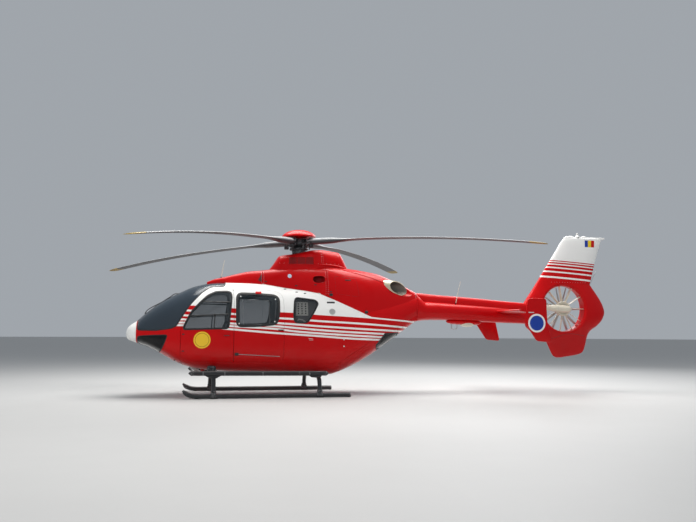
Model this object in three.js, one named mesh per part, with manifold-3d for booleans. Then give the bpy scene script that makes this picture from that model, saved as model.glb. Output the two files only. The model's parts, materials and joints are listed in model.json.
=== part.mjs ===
// Light twin-engine helicopter on skids, with a four-blade main rotor and a shrouded tail rotor.
// Millimetres. X runs aft, Y to starboard, Z up from the skids' undersides.
// The tables below give stations aft of the nose tip; originStation moves them to the part's origin.
import * as THREE from 'three';
import { mergeVertices } from 'three/addons/utils/BufferGeometryUtils.js';
import Module from 'manifold-3d';

const wasm = await Module();
wasm.setup();

// Overall sizes
const originStation = 4877.5;    // station of the part's origin, midway along
const seamGap = 0.4;             // between fixed neighbours
const doorGap = 6;               // around each moving door
const wallThickness = 40;        // cabin wall
const doorThickness = 32;
const glassThickness = 8;
const cowlThickness = 25;

// Main rotor
const mastStation = 3403, hubHeight = 3103, mastTilt = 0.021;
const rotorRadius = 5100, tipDroop = 345, firstBladeAngle = 0.657, bladeCount = 4;
// Tail rotor duct
const ductStation = 9310, ductHeight = 1790, ductRadius = 500, ductLip = 30;
const tailBladeCount = 10, tailBladeChord = 52, tailBladeThick = 12, tailBladePitch = -0.55, unevenStep = 0.12;
const vaneCount = 11, vaneChord = 88, vaneThick = 9, vanePitch = 0.25;
// Exhaust pipes: axis ends, the middle of the mouth and the way that it faces, for the starboard one
const exhaustRadius = 138, exhaustWall = 18;
const exhaustStart = [4950, 285, 2235], exhaustEnd = [5640, 372, 2135];
const exhaustMouth = [5451, 350, 2158], exhaustFacing = [0.5, 0.855, 0.13];
// Landing gear
const skidSpacing = 1000, skidRadius = 45, crossTubeRadius = 42, stepRadius = 36;
const crossTubes = [['front', 1677, 442], ['rear', 3696, 396]];      // name, station, height
// Front door hinge, a vertical line beside the door's front edge
const frontHingeStation = 1048, frontHingeSide = 714, frontDoorReach = 1003;
// Rear door hinge, a sloping line along the hull's rear flank
const rearHingeLow = [4080, 625], rearHingeHigh = [5470, 1504];
const rearDoorEnds = [70, 1535];
const hingeClear = 0.3, knuckleRadius = 8;
const frontKnuckles = [850, 880, 940, 970], rearKnuckles = [690, 730, 810, 850];
// Cabin: floor top, and half widths of the posts between the panes in front and below the nose
const floorHeight = 600, windscreenPost = 22, chinPost = 70, rearDoorPost = 120;
// Cowl joints: front of the gearbox cowling and of the engine cowling
const gearboxCowlStart = 2640, engineCowlStart = 3910;

// Hull sections: station, underside, top, half width, height of widest point, lower and upper fullness
const hullTable = [
  [0, 1205, 1205, 0, 1205, 2.2, 2.2], [30, 1110, 1317, 170, 1200, 2.2, 2.2],
  [100, 1068, 1388, 290, 1190, 2.2, 2.2], [210, 1028, 1460, 400, 1175, 2.3, 2.2],
  [400, 962, 1630, 510, 1160, 2.4, 2.2], [700, 810, 1850, 625, 1130, 2.5, 2.2],
  [1000, 640, 2010, 700, 1100, 2.7, 2.3], [1350, 530, 2160, 755, 1080, 2.9, 2.4],
  [1800, 480, 2235, 780, 1060, 3.0, 2.5], [2600, 450, 2240, 780, 1060, 3.0, 2.5],
  [4100, 425, 2200, 770, 1060, 3.0, 2.5], [4600, 620, 2150, 700, 1150, 2.8, 2.4],
  [5200, 990, 2120, 520, 1450, 2.5, 2.3], [5900, 1480, 2095, 290, 1790, 2.2, 2.2],
];
const hullStations = [0, 12, 40, 100, 210, 400, 600, 800, 1000, 1250, 1570, 1900, 2600, 3400,
  4100, 4350, 4650, 5000, 5450, 5900];
// Cowl sections: station, top, half width
const cowlTable = [
  [1540, 2248, 40], [1716, 2315, 90], [1894, 2355, 130], [2073, 2404, 160], [2374, 2472, 210],
  [2673, 2506, 290], [3059, 2565, 410], [3503, 2600, 480], [3756, 2602, 520], [3964, 2600, 580],
  [4297, 2575, 632],
  [4572, 2545, 635], [4808, 2508, 600], [5008, 2474, 540], [5242, 2394, 470], [5399, 2320, 420],
  [5655, 2211, 335], [5890, 2098, 255],
];
// Height at which the cowls' sides start to round over: station, height
const cowlBaseTable = [
  [1540, 2100], [2400, 2080], [3059, 2000], [3964, 1860], [4572, 1700], [5242, 1750], [5890, 1790],
];
const cowlFullness = 3.2, mastFairingFullness = 3.4, boomFullness = 2.5, shaftCoverFullness = 3;
// Mast fairing sections: station, top, half width
const mastFairingTable = [
  [2800, 2530, 90], [2900, 2665, 215], [2994, 2804, 270], [3250, 2850, 310], [3530, 2904, 330],
  [3844, 2947, 330], [4100, 2920, 310], [4233, 2896, 280], [4330, 2740, 240], [4425, 2540, 200],
];
// Tail boom sections: station, underside, top, half width
const boomTable = [
  [5894.4, 1480, 2094, 288], [5970, 1494, 2035, 281], [6060, 1508, 1962, 273], [6160, 1513, 1925, 265],
  [6391, 1518, 1900, 245], [6933, 1505, 1865, 215], [7396, 1486, 1838, 190], [7929, 1466, 1802, 165],
  [8400, 1452, 1775, 145], [8700, 1440, 1760, 130],
];
// Drive shaft cover along the boom's top: station, top, half width
const shaftCoverTable = [
  [5894.4, 2093, 150], [6091, 2078, 128], [6391, 2052, 118], [6933, 2019, 114], [7396, 1984, 110],
  [7929, 1941, 106], [8400, 1909, 100], [8700, 1890, 92],
];
// Fin and shroud sections: height, front, rear, half thickness
const finTable = [
  [714, 9150, 9262, 30], [740, 9100, 9430, 38], [785, 9062, 9692, 50], [840, 9032, 9798, 60],
  [950, 8980, 9850, 75], [1100, 8900, 9890, 105], [1200, 8740, 9918, 140], [1300, 8545, 9985, 170],
  [1420, 8440, 10160, 192], [1570, 8420, 10297, 203], [1720, 8400, 10348, 206], [1850, 8392, 10318, 204],
  [1980, 8460, 10255, 192], [2150, 8580, 10142, 165], [2290, 8675, 10042, 138], [2345, 8712, 10010, 130],
  [2400, 8748, 10026, 124], [2520, 8826, 10062, 110], [2810, 9018, 10142, 90], [3090, 9205, 10232, 75],
  [3310, 9345, 10302, 60], [3395, 9432, 10322, 45],
];
// Blade sections: radius, chord, thickness, share of chord ahead of the pitch line
const bladeTable = [
  [165.4, 130, 70, 0.5], [270, 150, 96, 0.5], [400, 205, 130, 0.5], [760, 190, 118, 0.5],
  [960, 170, 84, 0.48], [1250, 235, 48, 0.38], [1520, 288, 36, 0.3], [2400, 288, 34, 0.28],
  [3400, 288, 34, 0.28],
  [4300, 288, 32, 0.28], [4850, 276, 28, 0.28], [5020, 245, 24, 0.26], [rotorRadius, 170, 16, 0.2],
];

// Turned profiles: radius, height along the axis
const hubProfile = [
  [0, -475], [78, -475], [78, -120], [110, -100], [110, -62], [165, -48], [165, 48], [100, 60], [0, 60],
];
const capProfile = [
  [0, 60 + seamGap], [95, 60 + seamGap], [95, 96], [325, 110], [332, 122], [318, 146], [262, 190], [175, 222],
  [80, 238], [0, 242],
];
const swashplateProfile = [[0, -330], [157, -330], [165, -318], [165, -282], [157, -270], [0, -270]];
const shaftFairingProfile = [
  [0, 0], [50, 0], [58, 120], [80, 350], [86, 450], [84, 560], [66, 640], [34, 672], [0, 680],
];
const beaconProfile = [
  [0, seamGap], [26, seamGap], [26, 12], [15, 20], [15, 50], [22, 56], [20, 82], [0, 90],
];

// Side-view outlines: station, height
const windscreenOutline = [
  [235, 1275], [584, 1269], [869, 1309], [944, 1348], [963, 1357], [1054, 1514], [1210, 1756],
  [1276, 1835], [1444, 2016], [1617, 2128], [1877, 2141], [1902, 2214], [1902, 2400], [235, 2400],
];
const chinOutline = [[240, 1160], [490, 1176], [805, 1187], [743, 1018], [685, 896], [600, 800], [240, 800]];
const frontDoorOutline = [
  [1054, 780], [1054, 1290], [1075, 1375], [1200, 1655], [1390, 1874], [1535, 1998], [1705, 2076],
  [1985, 2082], [2075, 2075], [2075, 660], [1200, 660], [1090, 710],
];
const frontWindowOutline = [
  [1095, 1292], [1118, 1377], [1246, 1635], [1428, 1836], [1563, 1961], [1718, 2035], [1935, 2041],
  [1990, 2020], [2012, 1960], [2003, 1842], [1958, 1408], [1942, 1330], [1900, 1315], [1537, 1305],
];
const slidingDoorOutline = [
  [2020, 660], [2020, 2082], [2400, 2082], [2850, 2058], [2960, 2012], [3020, 1900], [3020, 750], [2950, 660],
];
const slidingWindowOutline = [
  [2112, 1940], [2162, 2002], [2474, 1996], [2850, 1968], [2930, 1905], [2924, 1588], [2880, 1430],
  [2830, 1400], [2501, 1366], [2150, 1360], [2108, 1420],
];
const rearWindowOutline = [
  [3238, 1883], [3280, 1936], [3662, 1889], [3722, 1825], [3635, 1658], [3500, 1450], [3450, 1428],
  [3260, 1428], [3222, 1470], [3210, 1591],
];
const rearDoorWindowOutline = [
  [5120, 1228], [5600, 1240], [5400, 1080], [5180, 930], [4960, 905], [4930, 990], [5027, 1108],
];
const endPlateOutline = [[7890, 1950], [8290, 1950], [8300, 1500], [8395, 1062], [8062, 1090], [7812, 1460]];
const finHumpOutline = [
  [9400, 3330], [9432, 3392], [9480, 3418], [9536, 3429], [9600, 3420], [9656, 3402], [9700, 3330],
];
const finPlateOutline = [[9640, 3384], [9640, 3409], [10403, 3409], [10403, 3381], [10300, 3378]];
const finPlateTop = 3409, beaconStation = 9733;
const pilotSeatOutline = [
  [1500, floorHeight + seamGap], [1960, floorHeight + seamGap], [1960, 900], [2040, 1420], [2030, 1560],
  [1960, 1560], [1900, 1420], [1850, 1010], [1480, 980], [1470, 900], [1520, 880],
];
const panelOutline = [
  [930, floorHeight + seamGap], [1130, floorHeight + seamGap], [1130, 900], [1020, 1180], [900, 1260],
  [780, 1240], [800, 1100], [900, 950],
];
const cabinSeatOutline = [
  [2480, floorHeight + seamGap], [2900, floorHeight + seamGap], [2900, 900], [2960, 1460], [2890, 1480],
  [2810, 1000], [2460, 980], [2460, 900],
];

const paint = {
  red: [0xb3121a, 0.35, 0.1], white: [0xe9e9e6, 0.4, 0.05], dark: [0x23262a, 0.6, 0.3],
  glass: [0x2b3238, 0.12, 0.0], steel: [0x8d9196, 0.35, 0.8], cream: [0xcfc6a8, 0.55, 0.1],
  blade: [0x5c6066, 0.6, 0.1], fabric: [0x3c4650, 0.9, 0.0], grey: [0xb9bcbb, 0.6, 0.1],
};

const group = new THREE.Group();
group.name = 'skid_gear_helicopter';

// A smooth rising-or-falling curve through table points, never overshooting them
function curveThrough(stations, values) {
  const count = stations.length;
  const slope = [], tangent = [];
  for (let i = 0; i < count - 1; i++) {
    slope.push((values[i + 1] - values[i]) / (stations[i + 1] - stations[i]));
  }
  for (let i = 0; i < count; i++) {
    if (i === 0) tangent.push(slope[0]);
    else if (i === count - 1) tangent.push(slope[count - 2]);
    else if (slope[i - 1] * slope[i] <= 0) tangent.push(0);
    else tangent.push(2 * slope[i - 1] * slope[i] / (slope[i - 1] + slope[i]));
  }
  return (at) => {
    const x = Math.min(Math.max(at, stations[0]), stations[count - 1]);
    let i = 0;
    while (i < count - 2 && x > stations[i + 1]) i++;
    const span = stations[i + 1] - stations[i];
    const t = (x - stations[i]) / span;
    const rise = t * t * (3 - 2 * t);
    return values[i] * (1 - rise) + values[i + 1] * rise
      + span * (tangent[i] * t * (1 - t) * (1 - t) - tangent[i + 1] * t * t * (1 - t));
  };
}

function tableCurves(table) {
  const at = table.map((row) => row[0]);
  return table[0].slice(1).map((_, k) => curveThrough(at, table.map((row) => row[k + 1])));
}

// Any closed geometry becomes a solid facing outward
function solid(geometry) {
  let plain = geometry.index ? geometry.toNonIndexed() : geometry.clone();
  for (const name of Object.keys(plain.attributes)) if (name !== 'position') plain.deleteAttribute(name);
  plain = mergeVertices(plain, 1e-3);
  const position = plain.attributes.position, index = plain.index.array, faces = [];
  const a = new THREE.Vector3(), b = new THREE.Vector3(), c = new THREE.Vector3();
  let volume = 0;
  for (let i = 0; i < index.length; i += 3) {
    const [p, q, r] = [index[i], index[i + 1], index[i + 2]];
    if (p === q || q === r || r === p) continue;
    faces.push([p, q, r]);
    [[a, p], [b, q], [c, r]].forEach(([corner, at]) => corner.fromBufferAttribute(position, at));
    volume += a.dot(b.cross(c));
  }
  const triVerts = new Uint32Array(faces.flatMap(([p, q, r]) => (volume < 0 ? [p, r, q] : [p, q, r])));
  const vertProperties = new Float32Array(position.array);
  return new wasm.Manifold(new wasm.Mesh({ numProp: 3, vertProperties, triVerts }));
}

// Rings of equal length, joined in turn and closed by a fan at each end
function ringSolid(rings) {
  const count = rings[0].length, points = rings.flat(), faces = [];
  for (let i = 0; i < rings.length - 1; i++) {
    for (let j = 0; j < count; j++) {
      const k = (j + 1) % count, p = i * count, q = p + count;
      faces.push(p + j, q + j, q + k, p + j, q + k, p + k);
    }
  }
  for (const [start, flip] of [[0, false], [(rings.length - 1) * count, true]]) {
    const ring = points.slice(start, start + count);
    const centre = [0, 1, 2].map((k) => ring.reduce((sum, point) => sum + point[k], 0) / count);
    points.push(centre);
    for (let j = 0; j < count; j++) {
      const k = (j + 1) % count;
      faces.push(points.length - 1, start + (flip ? k : j), start + (flip ? j : k));
    }
  }
  const geometry = new THREE.BufferGeometry();
  geometry.setAttribute('position', new THREE.Float32BufferAttribute(points.flat(), 3));
  geometry.setIndex(faces);
  return solid(geometry);
}

function power(value, exponent) {
  return Math.sign(value) * Math.abs(value) ** exponent;
}

function box(x0, x1, y0, y1, z0, z1) {
  const geometry = new THREE.BoxGeometry(x1 - x0, y1 - y0, z1 - z0);
  geometry.translate((x0 + x1) / 2, (y0 + y1) / 2, (z0 + z1) / 2);
  return solid(geometry);
}

// A side-view outline given depth along Y
function sidePrism(outline, y0, y1) {
  const shape = new THREE.Shape(outline.map(([x, z]) => new THREE.Vector2(x, z)));
  const geometry = new THREE.ExtrudeGeometry(shape, { depth: y1 - y0, bevelEnabled: false });
  const position = geometry.attributes.position;
  for (let i = 0; i < position.count; i++) {
    position.setXYZ(i, position.getX(i), y0 + position.getZ(i), position.getY(i));
  }
  return solid(geometry);
}

// Moves every edge of an outline outward by a distance
function grown(outline, distance) {
  let area = 0;
  const after = (i, steps) => outline[(i + steps + outline.length) % outline.length];
  outline.forEach(([x, z], i) => { area += x * after(i, 1)[1] - after(i, 1)[0] * z; });
  const turn = Math.sign(area);
  return outline.map((point, i) => {
    const normals = [[after(i, -1), point], [point, after(i, 1)]].map(([p, q]) => {
      const length = Math.hypot(q[0] - p[0], q[1] - p[1]);
      return [turn * (q[1] - p[1]) / length, -turn * (q[0] - p[0]) / length];
    });
    const sum = [normals[0][0] + normals[1][0], normals[0][1] + normals[1][1]];
    const scale = 2 * distance / (sum[0] ** 2 + sum[1] ** 2);
    return [point[0] + sum[0] * scale, point[1] + sum[1] * scale];
  });
}

function cylinder(radius, from, to, sides = 32, endRadius = radius) {
  const start = new THREE.Vector3(...from), end = new THREE.Vector3(...to);
  const geometry = new THREE.CylinderGeometry(endRadius, radius, start.distanceTo(end), sides);
  const along = end.clone().sub(start).normalize();
  geometry.applyQuaternion(new THREE.Quaternion().setFromUnitVectors(new THREE.Vector3(0, 1, 0), along));
  geometry.translate(...start.clone().add(end).multiplyScalar(0.5).toArray());
  return solid(geometry);
}

// A turned form: profile of radius and height, starting and ending on the axis, about Z
function turned(profile, sides, place) {
  const geometry = new THREE.LatheGeometry(profile.map(([r, h]) => new THREE.Vector2(r, h)), sides);
  geometry.rotateX(Math.PI / 2);
  if (place) geometry.applyMatrix4(place);
  return solid(geometry);
}

// A round bar along a smooth path
function bar(radius, path, steps, sides = 10) {
  const points = path.map((point) => new THREE.Vector3(...point));
  const curve = new THREE.CatmullRomCurve3(points, false, 'centripetal');
  const shape = new THREE.Shape();
  for (let i = 0; i < sides; i++) {
    const turn = i * 2 * Math.PI / sides;
    shape[i ? 'lineTo' : 'moveTo'](radius * Math.cos(turn), radius * Math.sin(turn));
  }
  return solid(new THREE.ExtrudeGeometry(shape, { steps, extrudePath: curve, bevelEnabled: false }));
}

// Keeps the largest closed part of a solid, so slivers left by a cut fall away
function mainPart(body) {
  const mesh = body.getMesh();
  const { numProp, vertProperties, triVerts } = mesh;
  const key = new Map(), id = [], points = [];
  for (let i = 0; i < vertProperties.length / numProp; i++) {
    const point = [0, 1, 2].map((k) => vertProperties[i * numProp + k]);
    const name = point.join(' ');
    if (!key.has(name)) { key.set(name, points.length); points.push(point); }
    id.push(key.get(name));
  }
  const parent = points.map((_, i) => i);
  const root = (i) => { while (parent[i] !== i) { parent[i] = parent[parent[i]]; i = parent[i]; } return i; };
  const faces = [];
  for (let i = 0; i < triVerts.length; i += 3) {
    const face = [id[triVerts[i]], id[triVerts[i + 1]], id[triVerts[i + 2]]];
    if (face[0] === face[1] || face[1] === face[2] || face[2] === face[0]) continue;
    faces.push(face);
    parent[root(face[0])] = root(face[1]);
    parent[root(face[1])] = root(face[2]);
  }
  const volume = new Map();
  for (const [p, q, r] of faces) {
    const [a, b, c] = [points[p], points[q], points[r]].map((v) => new THREE.Vector3(...v));
    volume.set(root(p), (volume.get(root(p)) ?? 0) + a.dot(b.cross(c)));
  }
  const best = [...volume.entries()].sort((a, b) => Math.abs(b[1]) - Math.abs(a[1]))[0][0];
  return { points, faces: faces.filter(([p]) => root(p) === best) };
}

function add(name, body, colour) {
  const { points, faces } = mainPart(body);
  const geometry = new THREE.BufferGeometry();
  const used = new Map(), kept = [];
  const index = faces.flat().map((i) => {
    if (!used.has(i)) { used.set(i, kept.length); kept.push(points[i]); }
    return used.get(i);
  });
  geometry.setAttribute('position', new THREE.Float32BufferAttribute(
    kept.flatMap(([x, y, z]) => [x - originStation, y, z]), 3));
  geometry.setIndex(index);
  geometry.computeVertexNormals();
  const [color, roughness, metalness] = paint[colour];
  const mesh = new THREE.Mesh(geometry, new THREE.MeshStandardMaterial({ color, roughness, metalness }));
  mesh.name = name;
  group.add(mesh);
}

const sides = [[-1, 'left'], [1, 'right']];
const span = (side, from, to) => (side < 0 ? [-to, -from] : [from, to]);

// A side-view outline as a cut through one side, from a distance off the middle outward
const through = (outline, side, from = 200) => sidePrism(outline, ...span(side, from, 1000));

// Hull
const hullCurves = tableCurves(hullTable.map(([station, ...sizes]) => [Math.sqrt(station), ...sizes]));
const hullSides = 28;

function hullSection(x, inset) {
  const [low, top, half, wide, lowFull, topFull] = hullCurves.map((curve) => curve(Math.sqrt(x)));
  const ring = [];
  for (let j = 0; j < hullSides; j++) {
    const turn = (j + 0.5) * 2 * Math.PI / hullSides, upper = Math.sin(turn) > 0;
    const full = 2 / (upper ? topFull : lowFull);
    const rise = upper ? top - wide - inset : wide - low - inset;
    ring.push([x, (half - inset) * power(Math.cos(turn), full), wide + rise * power(Math.sin(turn), full)]);
  }
  return ring;
}

function hullBody(inset, from = 0, to = 5900) {
  const stations = [from, ...hullStations.filter((x) => x > from + 5 && x < to - 5), to];
  return ringSolid(stations.map((x) => hullSection(x, x === 0 ? 0 : inset)));
}

function hullSide(x, z) {
  const [low, top, half, wide, lowFull, topFull] = hullCurves.map((curve) => curve(Math.sqrt(x)));
  const share = z > wide ? (z - wide) / (top - wide) : (wide - z) / (wide - low);
  const full = z > wide ? topFull : lowFull;
  return half * (1 - Math.min(1, share) ** full) ** (1 / full);
}

const hullOuter = hullBody(0);
const hullHollow = hullBody(wallThickness, 225, 5750);
const hullWall = hullOuter.subtract(hullHollow);
const cabinSpace = hullBody(wallThickness + seamGap, 225, 5750);
const pillarSpace = hullBody(wallThickness - 2).subtract(hullBody(wallThickness + 32));
const doorWall = hullOuter.subtract(hullBody(doorThickness, 225, 5750));
const glassWall = hullBody(2, 30, 5890).subtract(hullBody(2 + glassThickness, 225, 5750));
const hullGrown = hullBody(-seamGap);

// Rear door frame of reference: along the hinge, down the door from the hinge, and outward
function rearDoorBasis(side) {
  const [x0, z0] = rearHingeLow, [x1, z1] = rearHingeHigh;
  const clear = 12;
  let y0 = hullSide(x0, z0), y1 = hullSide(x1, z1);
  let bulge = 0;
  for (let i = 0; i <= 20; i++) {
    const t = i / 20;
    bulge = Math.max(bulge, hullSide(x0 + t * (x1 - x0), z0 + t * (z1 - z0)) - (y0 + t * (y1 - y0)));
  }
  y0 += bulge + clear; y1 += bulge + clear;
  const start = new THREE.Vector3(x0, side * y0, z0), end = new THREE.Vector3(x1, side * y1, z1);
  const along = end.clone().sub(start).normalize();
  const down = new THREE.Vector3(0.53, side * 0.12, -0.85);
  down.addScaledVector(along, -down.dot(along)).normalize();
  const across = new THREE.Vector3().crossVectors(along, down).normalize();
  return { start, along, down, across };
}

// A box in the rear door's own directions: along the hinge, down from it, and outward
function rearDoorBox(side, s, d, out) {
  const { start, along, down, across } = rearDoorBasis(side);
  const geometry = new THREE.BoxGeometry(s[1] - s[0], d[1] - d[0], out[1] - out[0]);
  geometry.translate((s[0] + s[1]) / 2, (d[0] + d[1]) / 2, side * (out[0] + out[1]) / 2);
  geometry.applyMatrix4(new THREE.Matrix4().makeBasis(along, down, across).setPosition(start));
  return solid(geometry);
}

function rearKnuckle(side, from, to) {
  const { start, along } = rearDoorBasis(side);
  return cylinder(knuckleRadius, start.clone().addScaledVector(along, from).toArray(),
    start.clone().addScaledVector(along, to).toArray(), 16);
}

function rearDoorRegion(side, extra) {
  const { start, along, down, across } = rearDoorBasis(side);
  const [s0, s1] = rearDoorEnds, size = [s1 - s0 + 2 * extra, 1400, 3000];
  const geometry = new THREE.BoxGeometry(...size);
  geometry.translate((s0 + s1) / 2, 700 - extra + doorGap, 0);
  geometry.applyMatrix4(new THREE.Matrix4().makeBasis(along, down, across).setPosition(start));
  return solid(geometry).intersect(box(3000, 6500, ...span(side, doorGap / 2 - extra, 1500), 0, 3000));
}

// A cross tube runs flat under the hull and bows down to the skid on each side
function crossTubePath(station, height) {
  const half = [[300, height], [700, height], [870, height - 32], [955, 300], [skidSpacing - 6, 150],
    [skidSpacing, 50]];
  return [...half.map(([y, z]) => [station, -y, z]).reverse(), [station, 0, height],
    ...half.map(([y, z]) => [station, y, z])];
}

// Cabin frame with every opening cut
let frame = hullWall.subtract(box(-50, 205, -900, 900, 900, 1700));
for (const [side] of sides) {
  frame = frame.subtract(through(windscreenOutline, side, windscreenPost))
    .subtract(through(chinOutline, side, chinPost))
    .subtract(through(grown(frontDoorOutline, doorGap), side))
    .subtract(through(grown(slidingDoorOutline, seamGap), side))
    .subtract(through(rearWindowOutline, side))
    .subtract(rearDoorRegion(side, doorGap));
}
frame = frame.subtract(box(5894, 6000, -900, 900, 900, 2600));
frame = frame.add(pillarSpace.intersect(box(2015, 2105, -1000, 1000, floorHeight + 10, 2500)));
const [fixedLow, doorLow, doorHigh, fixedHigh] = frontKnuckles;
const [fixedStart, doorStart, doorEnd, fixedEnd] = rearKnuckles;
function frontHinge(side, radius, z0, z1, count) {
  const y = side * frontHingeSide;
  return cylinder(radius, [frontHingeStation, y, z0], [frontHingeStation, y, z1], count);
}
function frontKnuckle(side, z0, z1, x0, x1) {
  return frontHinge(side, knuckleRadius, z0, z1, 16)
    .add(box(x0, x1, ...span(side, frontHingeSide - 62, frontHingeSide + 4), z0, z1));
}
for (const [side] of sides) {
  for (const [z0, z1] of [[fixedLow, doorLow], [doorHigh, fixedHigh]]) {
    frame = frame.add(frontKnuckle(side, z0, z1, frontHingeStation - 40, frontHingeStation - 0.6));
  }
  for (const [s0, s1] of [[fixedStart, doorStart], [doorEnd, fixedEnd]]) {
    frame = frame.add(rearKnuckle(side, s0, s1).add(rearDoorBox(side, [s0, s1], [-40, -0.6], [-38, 4])));
  }
}
for (const [, station, height] of crossTubes) {
  frame = frame.subtract(bar(crossTubeRadius + seamGap, crossTubePath(station, height), 24, 8));
}
add('cabin_frame', frame, 'red');
add('nose_cap', hullOuter.subtract(hullBody(30, 35, 260))
  .intersect(box(-50, 205 - seamGap, -900, 900, 900, 1700)), 'white');
add('cabin_floor', cabinSpace.intersect(box(905, 3990, -900, 900, floorHeight - 25, floorHeight)), 'grey');

const pane = (outline, side, from) => glassWall.intersect(through(grown(outline, -seamGap), side, from));
for (const [side, name] of sides) {
  const doorSweep = (radius) => frontHinge(side, radius, 300, 2500, 96);
  add(`windscreen_${name}`, pane(windscreenOutline, side, windscreenPost + seamGap), 'glass');
  add(`chin_window_${name}`, pane(chinOutline, side, chinPost + seamGap), 'glass');
  add(`front_door_${name}`, doorWall.intersect(through(frontDoorOutline, side))
    .intersect(doorSweep(frontDoorReach)).subtract(through(frontWindowOutline, side))
    .add(frontKnuckle(side, doorLow + hingeClear, doorHigh - hingeClear, frontHingeStation + 0.6,
      frontHingeStation + 36)), 'red');
  add(`front_door_glass_${name}`, pane(frontWindowOutline, side), 'glass');
  add(`sliding_door_${name}`, doorWall.intersect(through(slidingDoorOutline, side))
    .subtract(doorSweep(frontDoorReach + doorGap + 1)).subtract(through(slidingWindowOutline, side)), 'red');
  add(`sliding_door_glass_${name}`, pane(slidingWindowOutline, side), 'glass');
  add(`rear_side_glass_${name}`, pane(rearWindowOutline, side), 'glass');
  add(`rear_door_${name}`, doorWall.intersect(rearDoorRegion(side, 0))
    .subtract(through(rearDoorWindowOutline, side, rearDoorPost))
    .add(rearKnuckle(side, doorStart + hingeClear, doorEnd - hingeClear)
      .add(rearDoorBox(side, [doorStart + hingeClear, doorEnd - hingeClear], [0.6, 42], [-40, 4]))), 'red');
  add(`rear_door_glass_${name}`, pane(rearDoorWindowOutline, side, rearDoorPost + seamGap)
    .intersect(rearDoorRegion(side, 0)), 'glass');
}

// Cowls
const cowlCurves = tableCurves(cowlTable);
function hoodBody(curves, stations, base, foot, full, inset) {
  return ringSolid(stations.map((x) => {
    const [top, half] = curves.map((curve) => curve(x));
    const ring = [];
    for (let j = 0; j <= 12; j++) {
      const turn = j * Math.PI / 12;
      ring.push([x, (half - inset) * power(Math.cos(turn), 2 / full),
        base(x) + (top - inset - base(x)) * power(Math.sin(turn), 2 / full)]);
    }
    ring.push([x, -(half - inset), foot], [x, half - inset, foot]);
    return ring;
  }));
}
const [cowlBase] = tableCurves(cowlBaseTable);
function cowlBody(inset, from, to) {
  const between = cowlTable.map((row) => row[0]).filter((x) => x > from + 5 && x < to - 5);
  return hoodBody(cowlCurves, [from, ...between, to], cowlBase, 1500, cowlFullness, inset);
}
const cowlOuter = cowlBody(0, 1540, 5890);
const cowlGrown = cowlBody(-seamGap, 1540, 5890);
let cowl = cowlOuter.subtract(cowlBody(cowlThickness, 1800, 5700)).subtract(hullGrown);

// Exhaust pipes leave the engine cowl either side of the boom, cut so that they open outward and aft
const exhausts = sides.map(([side, name]) => {
  const [from, to, middle, facing] = [exhaustStart, exhaustEnd, exhaustMouth, exhaustFacing]
    .map(([x, y, z]) => new THREE.Vector3(x, side * y, z));
  const along = to.clone().sub(from).normalize();
  const at = (distance) => from.clone().addScaledVector(along, distance).toArray();
  cowl = cowl.subtract(cylinder(exhaustRadius + 1.5 * seamGap, at(0), at(740), 24));
  const waste = new THREE.BoxGeometry(1400, 1400, 600);
  waste.translate(0, 0, 300);
  const turn = new THREE.Quaternion().setFromUnitVectors(new THREE.Vector3(0, 0, 1), facing.normalize());
  waste.applyQuaternion(turn);
  waste.translate(...middle.toArray());
  return [name, cylinder(exhaustRadius, at(0), at(900), 24)
    .subtract(cylinder(exhaustRadius - exhaustWall, at(40), at(960), 24)).subtract(solid(waste))];
});
const mastAxis = [[mastStation + 15, 0, 2300], [mastStation, 0, 3100]];
const cowlBetween = (x0, x1) => cowl.intersect(box(x0, x1, -900, 900, 1500, 3200));
add('forward_fairing', cowlBetween(1500, gearboxCowlStart - seamGap), 'red');
add('gearbox_cowling', cowlBetween(gearboxCowlStart, engineCowlStart - seamGap)
  .subtract(cylinder(250, ...mastAxis)), 'red');
add('engine_cowling', cowlBetween(engineCowlStart, 5891), 'red');
const fairingCurves = tableCurves(mastFairingTable), fairingStations = mastFairingTable.map((row) => row[0]);
const fairingBody = (inset, at) => hoodBody(fairingCurves, at, () => 2350, 2200, mastFairingFullness, inset);
add('mast_fairing', fairingBody(0, fairingStations)
  .subtract(fairingBody(22, [2890, ...fairingStations.slice(2, 8), 4335]))
  .subtract(cowlGrown).subtract(cylinder(215, ...mastAxis)), 'red');
for (const [name, body] of exhausts) add(`exhaust_${name}`, body, 'cream');

// Machinery under the cowls
for (const [side, name] of sides) {
  add(`engine_${name}`, box(3960, 4900, ...span(side, 90, 400), 2080, 2440).subtract(hullGrown)
    .intersect(cowlBody(cowlThickness + 10, 1800, 5700)), 'steel');
}

// Main rotor, turning about a mast leaning slightly forward
const rotorPlace = new THREE.Matrix4().makeRotationY(-mastTilt).setPosition(mastStation, 0, hubHeight);
const onRotor = (x, y, z) => new THREE.Vector3(x, y, z).applyMatrix4(rotorPlace).toArray();
add('main_gearbox', box(3180, 3640, -170, 170, 2100, 2480).subtract(hullGrown)
  .add(cylinder(150, onRotor(0, 0, -750), onRotor(0, 0, -475 - hingeClear))), 'steel');
const hubPlace = rotorPlace.clone().multiply(new THREE.Matrix4().makeRotationZ(-firstBladeAngle));
add('rotor_mast', turned(hubProfile, 28, hubPlace), 'steel');
add('hub_cap', turned(capProfile, 20, rotorPlace), 'red');
let swashplate = turned(swashplateProfile, 20, rotorPlace)
  .subtract(cylinder(78 + seamGap, onRotor(0, 0, -400), onRotor(0, 0, -200), 28));
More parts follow.
